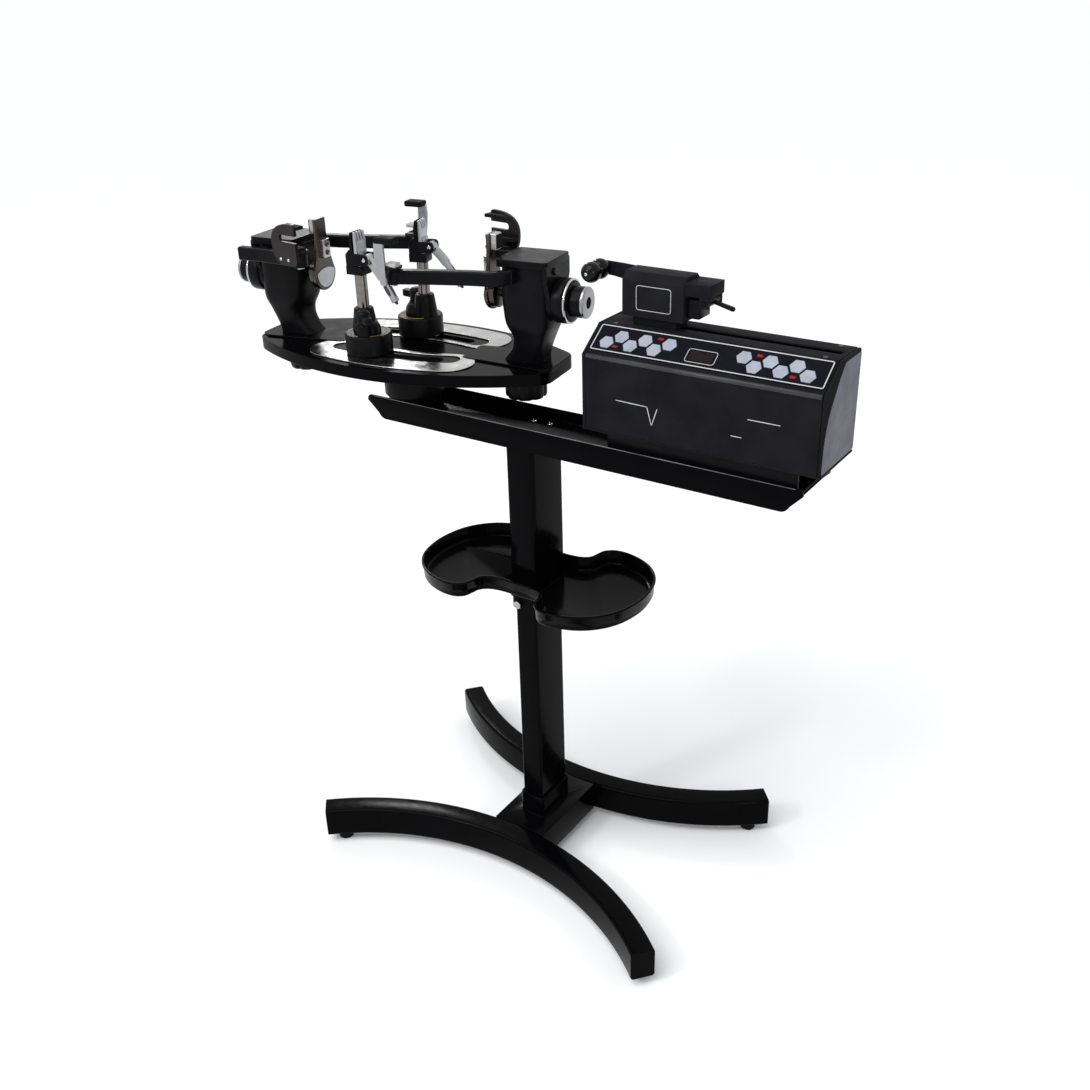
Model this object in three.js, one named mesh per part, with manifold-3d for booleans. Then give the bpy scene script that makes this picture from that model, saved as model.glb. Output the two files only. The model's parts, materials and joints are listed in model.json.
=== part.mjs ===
// Racket stringing machine on a floor stand, in millimetres, +Z up.
// X runs along the beam from the turntable to the tension unit, and +Y is the back.
import * as THREE from 'three';
import { mergeVertices } from 'three/addons/utils/BufferGeometryUtils.js';
import Module from 'manifold-3d';

const wasm = await Module();
wasm.setup();

// Clearances
const seatGap = 0.3; // between pieces that sit or run on each other
const overrun = 6; // how far a cutting body passes the face that it cuts

// Facets
const wideSteps = 18;
const midSteps = 10;
const rimSteps = 6;
const smallSteps = 6;
const hexSides = 6;
const cornerSteps = 2;
const clawSteps = 4;
const bevelSteps = 1;

// Floor stand
const leg = { halfSpan: 315, endReach: 214, crownReach: 97, width: 38, height: 52, wall: 2.5, edgeRound: 3 };
const glide = { radius: 13, height: 15, studRadius: 4, studRise: 14, endInset: 30 };
const crossBar = { halfWidth: 48, wall: 3 };
const socket = { wall: 4, height: 37 };
const column = { width: 38, depth: 74, wall: 2.5, corner: 4, top: 640 };
const sleeve = { wall: 2.7, belowTray: 41, capThickness: 5 };
const heightBolt = { headRadius: 7, headLength: 6, shankRadius: 3.7, x: -10, rise: 9 };

// Tool tray, a shallow dish with two lobes
const tray = { halfLength: 197, halfWidth: 118, rim: 525, depth: 20, wall: 2.5, lip: 3, draft: 8, collarWall: 4,
  collarDrop: 16, footRise: 5 };
const trayOutlineShares = [[0, 0.6], [0.2, 0.63], [0.36, 0.85], [0.58, 1], [0.82, 0.84], [0.96, 0.45], [1, 0]];

// Beam, an H-shaped section whose walls rise towards both ends
const beam = { halfWidth: 46, wall: 4, bottom: 735, top: 771, webTop: 753, webThickness: 4,
  leftTop: -280, leftBottom: -255, rightTop: 441, rightBottom: 419, endRound: 9 };

// Turntable
const turntable = { x: -222, turn: THREE.MathUtils.degToRad(8) };
const pedestal = { footRadius: 41, bodyRadius: 46, lift: 2, height: 39, neckRadius: 37, chamfer: 10,
  shaftRadius: 12, shaftRise: 22 };
const plate = { halfLength: 253, halfWidth: 123, arcRadius: 450, corner: 16, lift: 16, thickness: 18, floor: 8,
  rim: 8, pocketReach: 150, edgeRound: 2, hubRadius: 30, hubWall: 8, ribHalfWidth: 4 };
const endBlock = { start: 105, startHalfWidth: 28, endHalfWidth: 46, rise: 3 };
const slot = { reach: 56, halfWidth: 8, halfLength: 75.5 };
const track = { thickness: 1.5, outerReach: 54, innerReach: 25, end: 118, grooveHalfWidth: 19, grooveHalfLength: 84 };

// Towers, drawn for the right one; the left one is the same turned half round
const tower = { outerInset: 3, width: 78, halfDepth: 36, height: 140, sectionPower: 4, knobDrop: 49.3,
  bossRadius: 26, bossDepth: 14, bossProud: 2, cheekThickness: 8, cheekHalfDepth: 30, cheekDrop: 40,
  boltHoleRadius: 4, boltHoleDrop: 14, boltHoleReach: 16, travelIn: 16, travelOut: 14 };
// Height, inner edge, outer edge and half depth of each section of a tower
const towerSectionShares = [[0, -0.06, 0.76, 0.66], [0.05, 0.02, 0.76, 0.68], [0.15, 0.15, 0.8, 0.75],
  [0.27, 0.17, 0.88, 0.84], [0.4, 0.06, 0.97, 0.98], [0.54, 0.02, 0.98, 1], [0.69, 0, 0.98, 1],
  [0.84, 0.01, 0.99, 1], [1, 0.02, 1, 1]];
const platform = { thickness: 11, halfDepth: 39, corner: 6, edgeRound: 1.5 };
const lockKnob = { inset: 23, radius: 31, height: 27, drop: 10, collarRadius: 14, studRadius: 5, studRise: 11,
  floor: 6, flutes: 8, fluteRadius: 9, fluteShare: 0.27, edge: 3 };
const armKnob = { radius: 32, boreRadius: 8.3, length: 18, ringLength: 5, edge: 1.5 };
const supportKnob = { radius: 22, length: 17, capRadius: 21, capLength: 5, shaftRadius: 5, hexRadius: 6.5,
  hexDepth: 6, edge: 1 };

// Arms and the claws at their ends, which hold the racket's frame from outside
const arm = { height: 20, drop: 1, width: 15, rootHalfWidth: 9, rootBack: 18, rootOut: 50, nearInset: 23.5,
  farInset: 50.5, travelIn: 9, edgeRound: 2, endRadius: 11 };
// Bends of an arm, out from the tower's inner edge in tower widths and aside in its half depths
const longArmBendShares = [[0.13, 1.69], [-0.28, 1.86], [-0.95, 2.22]];
const shortArmBendShares = [[0.44, 1.78], [0.08, 2]];
const frameMouth = { lift: 26.7, halfHeight: 13, depth: 14 };
const claw = { web: 5, lip: 5, slotHeight: 10, footHalfWidth: 10, footReach: 34, footThickness: 5, skirt: 12,
  topRise: 9, edgeRound: 1.2 };
const longClaw = { halfLength: 12, reach: 50, side: 120, slotShare: 0.2 };
const shortClaw = { halfLength: 27, side: 86, turn: THREE.MathUtils.degToRad(14), slotShare: 0.1 };
const shortClawReach = { right: 124, left: 147 };

// Supports that bear on the racket's head from inside, at its tip and at its throat
const support = { inset: 27, plateThickness: 6, discRadius: 27, axisDrop: 44.3, neckHalfWidth: 9, hookBelow: 12,
  hookAbove: 11, hookLength: 9, rodRadius: 8.7, rodDepth: 30, travelOut: 12, collarRadius: 24, collarGap: 12 };

// String clamps that run on the tracks
const clampBase = { radius: 35, height: 30, edge: 1.5, postOffset: 13, bodyHalfLength: 26, bodyRadius: 19,
  bodyTopShare: 0.72, bodyHeight: 16, socketRadius: 14.5, socketHeight: 64, bossRadius: 12, bossX: -16, bossY: 10,
  bossHeight: 47, boreFloor: 5, studRadius: 6.5, shoeRadius: 15, shoeThickness: 5 };
const lockLever = { hubRadius: 10.5, hubHeight: 20, shoulderShare: 0.85, armLength: 27, armWidth: 12, armRise: 3,
  armHeight: 11, pinRadius: 4 };
const post = { radius: 9, foot: 20, top: 114, spigotRadius: 6, spigotHeight: 12 };
const head = { back: 16, halfWidth: 12, footHeight: 12, height: 36, front: 12, earThickness: 2.6, earReach: 24,
  earBottom: 14, earTop: 31, crownShare: 0.6, browShare: 0.8 };
const jaw = { gap: 1.4, thickness: 5, rise: 26, bodyReach: 9, teeth: 4, toothGap: 2.4, toothDepth: 13 };
const clampLever = { pivotX: 17, pivotRise: 23, hubRadius: 7, pinRadius: 3, halfWidth: 5, width: 11, gripRadius: 6.5,
  reach: 44, drop: 58.3 };
const clampLeverShares = [[0, 0], [0.39, 0.31], [0.75, 0.69], [1, 1]];
// Where each clamp stands: its place along the track, how its base and its head are turned
const clampPlaces = {
  near: { side: -1, reach: -39, baseTurn: THREE.MathUtils.degToRad(146.5), headTurn: THREE.MathUtils.degToRad(-4) },
  far: { side: 1, reach: -15, baseTurn: THREE.MathUtils.degToRad(-16.7), headTurn: THREE.MathUtils.degToRad(10) },
};

// Tension unit
const box = { left: 119, right: 465, halfDepth: 53, lift: 26, frontHeight: 104, height: 136, slopeDepth: 45,
  wall: 2, cheek: 6, ridge: 6, basePlate: 3 };
const plinth = { leftInset: 31, rightInset: 35, halfDepth: 38, wall: 3 };
const panel = { margin: 8, sideMargin: 2.5, thickness: 1.2 };
const key = { radius: 10.4, height: 1, columnStepShare: 0.0535, rowStep: 5.2 };
const keyGroups = [{ startShare: 0.075, rows: [-1, 1, -1, 1, -1, 1] }, { startShare: 0.616, rows: [1, -1, 1, -1, 1, -1] }];
const display = { centreShare: 0.451, halfLength: 17, halfHeight: 7.5, thickness: 1.4 };
const guideSlot = { y: 22, halfWidth: 6.5, leftInset: 46, rightInset: 13 };
const carriage = { inset: 31, length: 93, halfDepth: 22, lift: 12, height: 58, chamfer: 10, footInset: 14,
  footHalfDepth: 16, stemInset: 50, stemHalfLength: 14, nutHalf: 15, edgeRound: 1.5 };
const roller = { reach: 51, drop: 9, ballRadius: 14, ballOffset: 11, backReach: 20.5, pinRadius: 4 };
const neck = { thickness: 6, eyeRadius: 9, rootHeight: 26, rootInset: 12, topInset: 2 };
const upperJaw = { overlap: 3, length: 39, drop: 5, height: 16.5, halfDepth: 20 };
const lowerJaw = { mouth: 5.5, width: 19, height: 25, halfDepth: 15 };
const jawLever = { inset: 9, clearance: 0.5, hubRadius: 6.7, pinRadius: 3, earThickness: 4, rodRadius: 2.6,
  tipRadius: 3.4, reach: 32, drop: 7.3 };
const screw = { radius: 6, drop: 48, bearingDepth: 4 };
const motor = { inset: 19, length: 60, half: 27, bore: 12, footInset: 6, footHalfDepth: 10, edgeRound: 3 };
const inlet = { inset: 40, rise: 29, halfWidth: 12, halfHeight: 9, flangeWidth: 3, flange: 2, body: 18, shell: 2,
  bladeHalfWidth: 0.8, bladeHalfHeight: 2, bladeStep: 6, bladeDrop: 3 };
const rocker = { inset: 69, halfWidth: 7, halfHeight: 7, depth: 9, pivotDepth: 4, pinRadius: 1.5, pinReach: 1.2,
  proud: 1.5, valley: 1.2, tilt: THREE.MathUtils.degToRad(8) };

// Looks
const looks = {
  glossBlack: { color: 0x0d0d0f, roughness: 0.2, metalness: 0.2 },
  satinBlack: { color: 0x151518, roughness: 0.42, metalness: 0.2 },
  mattBlack: { color: 0x1b1b1f, roughness: 0.62, metalness: 0.1 },
  sideGrey: { color: 0x2c2c33, roughness: 0.6, metalness: 0.1 },
  rubber: { color: 0x0b0b0b, roughness: 0.85, metalness: 0 },
  steel: { color: 0xb9b9bd, roughness: 0.25, metalness: 1 },
  darkSteel: { color: 0x47474b, roughness: 0.4, metalness: 0.9 },
  castSilver: { color: 0xa2a2a8, roughness: 0.35, metalness: 0.9 },
  panelBlue: { color: 0x0c1018, roughness: 0.3, metalness: 0 },
  redGlass: { color: 0x2a0c0c, roughness: 0.1, metalness: 0 },
};

// Solids: three.js forms become manifolds only to be joined and cut
function solidFrom(geometry) {
  const bare = geometry.clone();
  bare.deleteAttribute('normal');
  bare.deleteAttribute('uv');
  const merged = mergeVertices(bare);
  const points = merged.attributes.position;
  const kept = [];
  let volume = 0;
  const corner = [new THREE.Vector3(), new THREE.Vector3(), new THREE.Vector3()];
  for (let i = 0; i < merged.index.count; i += 3) {
    const ids = [0, 1, 2].map((k) => merged.index.getX(i + k));
    if (new Set(ids).size < 3) continue;
    kept.push(...ids);
    ids.forEach((id, k) => corner[k].fromBufferAttribute(points, id));
    volume += corner[0].dot(corner[1].clone().cross(corner[2]));
  }
  if (volume < 0) kept.reverse();
  return new wasm.Manifold(new wasm.Mesh({
    numProp: 3,
    vertProperties: Float32Array.from(points.array),
    triVerts: Uint32Array.from(kept),
  }));
}

function asSolid(form) {
  return form.isBufferGeometry ? solidFrom(form) : form;
}

function join(...forms) {
  return forms.map(asSolid).reduce((whole, form) => whole.add(form));
}

function cut(body, ...tools) {
  return tools.map(asSolid).reduce((rest, tool) => rest.subtract(tool), asSolid(body));
}

function common(first, second) {
  return asSolid(first).intersect(asSolid(second));
}

function geometryFrom(solid) {
  const mesh = solid.getMesh();
  const geometry = new THREE.BufferGeometry();
  geometry.setAttribute('position', new THREE.BufferAttribute(Float32Array.from(mesh.vertProperties), 3));
  geometry.setIndex(new THREE.BufferAttribute(Uint32Array.from(mesh.triVerts), 1));
  return geometry;
}

function addPart(parent, name, form, look) {
  const mesh = new THREE.Mesh(geometryFrom(asSolid(form)), new THREE.MeshStandardMaterial(look));
  mesh.name = name;
  parent.add(mesh);
  return mesh;
}

// Basic forms
function block(corner, opposite) {
  const size = opposite.map((value, i) => Math.abs(value - corner[i]));
  const middle = opposite.map((value, i) => (value + corner[i]) / 2);
  return new THREE.BoxGeometry(...size).translate(...middle);
}

function rod(radius, from, to, steps = midSteps, farRadius = radius) {
  const start = new THREE.Vector3(...from);
  const end = new THREE.Vector3(...to);
  const along = end.clone().sub(start);
  const geometry = new THREE.CylinderGeometry(farRadius, radius, along.length(), steps);
  const up = new THREE.Vector3(0, 1, 0);
  geometry.applyQuaternion(new THREE.Quaternion().setFromUnitVectors(up, along.clone().normalize()));
  const middle = start.add(end).multiplyScalar(0.5);
  return geometry.translate(middle.x, middle.y, middle.z);
}

// The tool for a round hole: its flats clear the shaft by the seat gap
function boreTool(radius, from, to, steps = midSteps) {
  return rod((radius + seatGap) / Math.cos(Math.PI / steps), from, to, steps);
}

// A profile of [radius, height] pairs turned about Z
function turned(profile, steps = midSteps) {
  const points = profile.map(([radius, height]) => new THREE.Vector2(radius, height));
  return new THREE.LatheGeometry(points, steps).rotateX(Math.PI / 2);
}

// A profile of [radius, place] pairs turned about X
function turnedAlongX(profile, steps = midSteps) {
  return turned(profile, steps).rotateY(Math.PI / 2);
}

function extruded(shape, length, round, steps) {
  return new THREE.ExtrudeGeometry(shape, {
    depth: length - 2 * round,
    bevelEnabled: round > 0,
    bevelThickness: round,
    bevelSize: round,
    bevelOffset: -round,
    bevelSegments: bevelSteps,
    curveSegments: steps,
  }).translate(0, 0, round);
}

// A shape drawn in X and Y, standing from bottom to top
function slab(shape, bottom, top, round = 0, steps = smallSteps) {
  return extruded(shape, top - bottom, round, steps).translate(0, 0, bottom);
}

// A shape drawn in X and Z, running from front to back along Y
function slabAlongY(shape, front, back, round = 0, steps = smallSteps) {
  return extruded(shape, back - front, round, steps).rotateX(Math.PI / 2).translate(0, back, 0);
}

// A shape drawn in Y and Z, running from left to right along X
function slabAlongX(shape, left, right, round = 0, steps = smallSteps) {
  const turn = new THREE.Matrix4().makeBasis(
    new THREE.Vector3(0, 1, 0),
    new THREE.Vector3(0, 0, 1),
    new THREE.Vector3(1, 0, 0),
  );
  return extruded(shape, right - left, round, steps).applyMatrix4(turn).translate(left, 0, 0);
}

function roundedRectangle(halfWidth, halfHeight, radius, x = 0, y = 0) {
  const shape = new THREE.Shape();
  const quarter = Math.PI / 2;
  shape.absarc(x + halfWidth - radius, y + halfHeight - radius, radius, 0, quarter, false);
  shape.absarc(x - halfWidth + radius, y + halfHeight - radius, radius, quarter, 2 * quarter, false);
  shape.absarc(x - halfWidth + radius, y - halfHeight + radius, radius, 2 * quarter, 3 * quarter, false);
  shape.absarc(x + halfWidth - radius, y - halfHeight + radius, radius, 3 * quarter, 4 * quarter, false);
  shape.closePath();
  return shape;
}

function polygon(points) {
  return new THREE.Shape(points.map(([x, y]) => new THREE.Vector2(x, y)));
}

// A band about a centre: from one radius to another, between two angles
function bandShape(centreX, centreY, inner, outer, from, to) {
  const shape = new THREE.Shape();
  shape.absarc(centreX, centreY, outer, from, to, false);
  shape.absarc(centreX, centreY, inner, to, from, true);
  shape.closePath();
  return shape;
}

// A closed skin over rings of points that see their own middle
function loft(rings) {
  const count = rings[0].length;
  const points = rings.flat();
  const index = [];
  for (let r = 0; r < rings.length - 1; r += 1) {
    for (let i = 0; i < count; i += 1) {
      const a = r * count + i;
      const b = r * count + (i + 1) % count;
      index.push(a, b, b + count, a, b + count, a + count);
    }
  }
  [0, rings.length - 1].forEach((r) => {
    const middle = rings[r].reduce((sum, p) => sum.add(p), new THREE.Vector3()).divideScalar(count);
    const centre = points.push(middle) - 1;
    for (let i = 0; i < count; i += 1) {
      const a = r * count + i;
      const b = r * count + (i + 1) % count;
      index.push(...(r === 0 ? [centre, b, a] : [centre, a, b]));
    }
  });
  const geometry = new THREE.BufferGeometry().setFromPoints(points);
  geometry.setIndex(index);
  return geometry;
}

// A strip of a given width along a smooth path in the plane
function ribbonShape(path, width, steps) {
  const curve = new THREE.CatmullRomCurve3(path.map(([x, y]) => new THREE.Vector3(x, y, 0)));
  const left = [];
  const right = [];
  for (let i = 0; i <= steps; i += 1) {
    const point = curve.getPoint(i / steps);
    const along = curve.getTangent(i / steps);
    const side = new THREE.Vector2(-along.y, along.x).multiplyScalar(width / 2);
    left.push(new THREE.Vector2(point.x + side.x, point.y + side.y));
    right.push(new THREE.Vector2(point.x - side.x, point.y - side.y));
  }
  return new THREE.Shape([...right, ...left.reverse()]);
}

// Floor stand
const legArcRadius = (leg.halfSpan ** 2 + (leg.endReach - leg.crownReach) ** 2)
  / (2 * (leg.endReach - leg.crownReach));
const legArcCentre = leg.crownReach + legArcRadius;
const legHalfAngle = Math.asin(leg.halfSpan / legArcRadius);
const legTop = glide.height + leg.height;

// The front leg bows towards the column; the rear one is the same turned half round
function legShape(inset) {
  const half = legHalfAngle - inset / legArcRadius;
  const inner = legArcRadius - leg.width / 2 + inset;
  const outer = legArcRadius + leg.width / 2 - inset;
  return bandShape(0, -legArcCentre, inner, outer, Math.PI / 2 - half, Math.PI / 2 + half);
}

function glidePlaces() {
  const angle = legHalfAngle - glide.endInset / legArcRadius;
  return [-angle, angle].map((a) => [legArcRadius * Math.sin(a), legArcRadius * Math.cos(a) - legArcCentre]);
}

function legTube() {
  const hollow = slab(legShape(leg.wall), glide.height + leg.wall, legTop - leg.wall);
  const holes = glidePlaces().map(([x, y]) => boreTool(
    glide.studRadius,
    [x, y, glide.height - overrun],
    [x, y, glide.height + leg.wall + overrun],
    smallSteps,
  ));
  return cut(slab(legShape(0), glide.height, legTop, leg.edgeRound), hollow, ...holes);
}

function glideFoot([x, y]) {
  const top = glide.height - seatGap;
  const edge = glide.studRadius / 2;
  return turned([
    [0, 0],
    [glide.radius - edge, 0],
    [glide.radius, edge],
    [glide.radius, top - edge],
    [glide.radius - edge, top],
    [glide.studRadius, top],
    [glide.studRadius, top + glide.studRise],
    [0, top + glide.studRise],
  ], midSteps).translate(x, y, 0);
}

function legAround(sign) {
  return slab(legShape(-seatGap), glide.height - overrun, legTop + overrun).rotateZ(sign > 0 ? Math.PI : 0);
}

const columnFoot = legTop + seatGap;
const socketTop = legTop + socket.height;

function rectangularTube(halfWidth, halfDepth, wall, corner, bottom, top) {
  const inside = roundedRectangle(halfWidth - wall, halfDepth - wall, corner - wall);
  return cut(
    slab(roundedRectangle(halfWidth, halfDepth, corner), bottom, top, 0, cornerSteps),
    slab(inside, bottom - overrun, top + overrun, 0, cornerSteps),
  );
}

function crossBarWithSocket() {
  const half = crossBar.halfWidth;
  const reach = leg.crownReach;
  const bar = cut(
    block([-half, -reach, glide.height], [half, reach, legTop]),
    block(
      [-half + crossBar.wall, -reach - overrun, glide.height + crossBar.wall],
      [half - crossBar.wall, reach + overrun, legTop - crossBar.wall],
    ),
    legAround(-1),
    legAround(1),
  );
  const collar = rectangularTube(
    column.width / 2 + seatGap + socket.wall,
    column.depth / 2 + seatGap + socket.wall,
    socket.wall,
    column.corner + socket.wall,
    legTop,
    socketTop,
  );
  return join(bar, collar);
}

const sleeveHalfWidth = column.width / 2 + seatGap + sleeve.wall;
const sleeveHalfDepth = column.depth / 2 + seatGap + sleeve.wall;
const sleeveTop = beam.webTop - beam.webThickness - seatGap;
const sleeveBottom = tray.rim - tray.depth - sleeve.belowTray;
const boltHeight = sleeveBottom + heightBolt.rise;

function sleeveTube() {
  const tube = rectangularTube(
    sleeveHalfWidth,
    sleeveHalfDepth,
    sleeve.wall,
    column.corner + sleeve.wall,
    sleeveBottom,
    sleeveTop,
  );
  const cap = slab(
    roundedRectangle(sleeveHalfWidth, sleeveHalfDepth, column.corner + sleeve.wall),
    sleeveTop - sleeve.capThickness,
    sleeveTop,
    0,
    cornerSteps,
  );
  const hole = boreTool(
    heightBolt.shankRadius,
    [heightBolt.x, -sleeveHalfDepth - overrun, boltHeight],
    [heightBolt.x, -sleeveHalfDepth + overrun, boltHeight],
    smallSteps,
  );
  return cut(join(tube, cap), hole);
}

function heightBoltBody() {
  const face = -sleeveHalfDepth - seatGap;
  return join(
    rod(heightBolt.headRadius, [heightBolt.x, face - heightBolt.headLength, boltHeight],
      [heightBolt.x, face, boltHeight], hexSides),
    rod(heightBolt.shankRadius, [heightBolt.x, face - heightBolt.headLength / 2, boltHeight],
      [heightBolt.x, -column.depth / 2 - seatGap, boltHeight], smallSteps),
  );
}

// Tool tray
function trayRing(offset, height) {
  const quarters = [[1, 1], [1, -1], [-1, -1], [-1, 1]];
  const points = [];
  quarters.forEach(([signX, signY], q) => {
    const run = q % 2 === 0 ? trayOutlineShares : [...trayOutlineShares].reverse();
    run.slice(0, -1).forEach(([x, y]) => points.push(new THREE.Vector3(
      signX * (x * tray.halfLength + Math.sign(x) * offset * x),
      signY * (y * tray.halfWidth + Math.sign(y) * offset),
      height,
    )));
  });
  return new THREE.CatmullRomCurve3(points, true, 'centripetal').getPoints(wideSteps + clawSteps).slice(0, -1);
}

function toolTray() {
  const bottom = tray.rim - tray.depth;
  const skin = loft([
    trayRing(-tray.draft, bottom),
    trayRing(-tray.draft / 4, bottom + tray.footRise),
    trayRing(0, tray.rim - tray.lip),
    trayRing(tray.lip, tray.rim - tray.lip),
    trayRing(tray.lip, tray.rim),
  ]);
  const hollow = loft([
    trayRing(-tray.draft - tray.wall, bottom + tray.wall),
    trayRing(-tray.draft / 4 - tray.wall, bottom + tray.wall + tray.footRise),
    trayRing(-tray.wall, tray.rim + overrun),
  ]);
  const halfWidth = sleeveHalfWidth + seatGap;
  const halfDepth = sleeveHalfDepth + seatGap;
  const corner = column.corner + sleeve.wall;
  const collar = slab(
    roundedRectangle(halfWidth + tray.collarWall, halfDepth + tray.collarWall, corner + tray.collarWall),
    bottom - tray.collarDrop,
    bottom + tray.wall + tray.lip,
    0,
    cornerSteps,
  );
  const opening = slab(
    roundedRectangle(halfWidth, halfDepth, corner),
    bottom - tray.collarDrop - overrun,
    tray.rim + overrun,
    0,
    cornerSteps,
  );
  return cut(join(cut(skin, hollow), collar), opening);
}

// Beam
function beamSection() {
  const outer = beam.halfWidth;
  const inner = beam.halfWidth - beam.wall;
  const webBottom = beam.webTop - beam.webThickness;
  return polygon([
    [-outer, beam.bottom], [-inner, beam.bottom], [-inner, webBottom], [inner, webBottom],
    [inner, beam.bottom], [outer, beam.bottom], [outer, beam.top], [inner, beam.top],
    [inner, beam.webTop], [-inner, beam.webTop], [-inner, beam.top], [-outer, beam.top],
  ]);
}

function beamSideShape() {
  const round = beam.endRound;
  const shape = new THREE.Shape();
  shape.moveTo(beam.leftBottom + round, beam.bottom);
  shape.lineTo(beam.rightBottom - round, beam.bottom);
  shape.quadraticCurveTo(beam.rightBottom, beam.bottom, beam.rightBottom + round / 2, beam.bottom + round);
  shape.lineTo(beam.rightTop, beam.top - round);
  shape.quadraticCurveTo(beam.rightTop, beam.top, beam.rightTop - round, beam.top);
  shape.lineTo(beam.leftTop + round, beam.top);
  shape.quadraticCurveTo(beam.leftTop, beam.top, beam.leftTop, beam.top - round);
  shape.lineTo(beam.leftBottom - round / 2, beam.bottom + round);
  shape.quadraticCurveTo(beam.leftBottom, beam.bottom, beam.leftBottom + round, beam.bottom);
  return shape;
}

function beamBody() {
  return common(
    slabAlongX(beamSection(), beam.leftTop - overrun, beam.rightTop + overrun),
    slabAlongY(beamSideShape(), -beam.halfWidth - overrun, beam.halfWidth + overrun),
  );
}

// Turntable
const pedestalShoulder = beam.top + pedestal.lift;
const pedestalTop = pedestalShoulder + pedestal.height;
const plateBottom = pedestalTop + plate.lift;
const plateTop = plateBottom + plate.thickness;
const blockTop = plateTop + endBlock.rise;
const plateArcCentre = plate.arcRadius - plate.halfWidth;
const trackTop = plateTop + seatGap + track.thickness;

function pedestalBody() {
  const foot = beam.webTop + seatGap;
  return turned([
    [0, foot],
    [pedestal.footRadius, foot],
    [pedestal.footRadius, pedestalShoulder],
    [pedestal.bodyRadius, pedestalShoulder],
    [pedestal.bodyRadius, pedestalTop - pedestal.chamfer],
    [pedestal.neckRadius, pedestalTop],
    [pedestal.shaftRadius, pedestalTop],
    [pedestal.shaftRadius, pedestalTop + pedestal.shaftRise],
    [0, pedestalTop + pedestal.shaftRise],
  ], wideSteps);
}

// Two long arcs between straight ends with round corners, drawn inwards by an inset
function plateShape(inset) {
  const length = plate.halfLength - inset;
  const arcEnd = length - plate.corner;
  const radius = plate.arcRadius - inset;
  const turn = Math.asin(arcEnd / radius);
  const side = Math.sqrt(radius ** 2 - length ** 2) - plateArcCentre;
  const arcSide = Math.sqrt(radius ** 2 - arcEnd ** 2) - plateArcCentre;
  const flat = side - plate.corner;
  const shape = new THREE.Shape();
  shape.moveTo(length, -flat);
  shape.lineTo(length, flat);
  shape.quadraticCurveTo(length, side, arcEnd, arcSide);
  shape.absarc(0, -plateArcCentre, radius, Math.PI / 2 - turn, Math.PI / 2 + turn, false);
  shape.quadraticCurveTo(-length, side, -length, flat);
  shape.lineTo(-length, -flat);
  shape.quadraticCurveTo(-length, -side, -arcEnd, -arcSide);
  shape.absarc(0, plateArcCentre, radius, -Math.PI / 2 - turn, -Math.PI / 2 + turn, false);
  shape.quadraticCurveTo(length, -side, length, -flat);
  return shape;
}

// A band along a clamp's path, round at both ends: on the near side for -1 and on the far side for 1
function pathBand(side, reach, halfLength, halfWidth, bottom, top, steps) {
  const radius = plateArcCentre + reach;
  const centreY = -side * plateArcCentre;
  const middle = side * Math.PI / 2;
  const halfAngle = Math.asin(halfLength / radius);
  const shape = bandShape(0, centreY, radius - halfWidth, radius + halfWidth, middle - halfAngle, middle + halfAngle);
  const ends = [-halfAngle, halfAngle].map((angle) => {
    const x = radius * Math.cos(middle + angle);
    const y = centreY + radius * Math.sin(middle + angle);
    return rod(halfWidth, [x, y, bottom], [x, y, top], steps);
  });
  return join(slab(shape, bottom, top, 0, rimSteps), ...ends);
}

// The slot that a clamp's stud runs in
function slotTool(side) {
  const low = plateBottom - overrun;
  return pathBand(side, slot.reach, slot.halfLength, slot.halfWidth, low, plateTop + overrun, rimSteps);
}

// The slot that a tower's lock stud runs in
function lockSlotTool(side) {
  const half = lockKnob.studRadius + seatGap;
  const inner = side * (lockReach - tower.travelIn);
  const outer = side * (lockReach + tower.travelOut);
  const low = plateBottom - overrun;
  const high = blockTop + overrun;
  return join(
    block([Math.min(inner, outer), -half, low], [Math.max(inner, outer), half, high]),
    rod(half, [inner, 0, low], [inner, 0, high]),
    rod(half, [outer, 0, low], [outer, 0, high]),
  );
}

// The raised seat of a tower, tapered towards the middle of the plate
function endBlockBody(side) {
  const inner = side * endBlock.start;
  const outer = side * plate.halfLength;
  const taper = polygon([
    [inner, -endBlock.startHalfWidth],
    [outer, -endBlock.endHalfWidth],
    [outer, endBlock.endHalfWidth],
    [inner, endBlock.startHalfWidth],
  ]);
  return common(slab(plateShape(0), plateBottom, blockTop, plate.edgeRound, rimSteps), slab(taper, plateBottom, blockTop));
}

function turntablePlate() {
  const outline = slab(plateShape(0), plateBottom, plateTop, plate.edgeRound, rimSteps);
  const pocketTop = plateTop - plate.floor;
  const hubOuter = plate.hubRadius + plate.hubWall;
  const reach = plate.pocketReach;
  const pocket = cut(
    common(
      slab(plateShape(plate.rim), plateBottom - overrun, pocketTop, 0, rimSteps),
      block([-reach, -plate.halfWidth, plateBottom - overrun], [reach, plate.halfWidth, pocketTop]),
    ),
    rod(hubOuter, [0, 0, plateBottom - 2 * overrun], [0, 0, plateTop]),
    block([-reach - overrun, -plate.ribHalfWidth, plateBottom - 2 * overrun],
      [reach + overrun, plate.ribHalfWidth, plateTop]),
  );
  const hub = rod(plate.hubRadius, [0, 0, pedestalTop + seatGap], [0, 0, pocketTop]);
  const bore = boreTool(pedestal.shaftRadius, [0, 0, pedestalTop - overrun],
    [0, 0, pedestalTop + pedestal.shaftRise + seatGap], wideSteps);
  const body = join(outline, endBlockBody(-1), endBlockBody(1));
  return cut(
    join(cut(body, pocket), hub),
    bore,
    slotTool(-1),
    slotTool(1),
    lockSlotTool(-1),
    lockSlotTool(1),
  );
}

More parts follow.
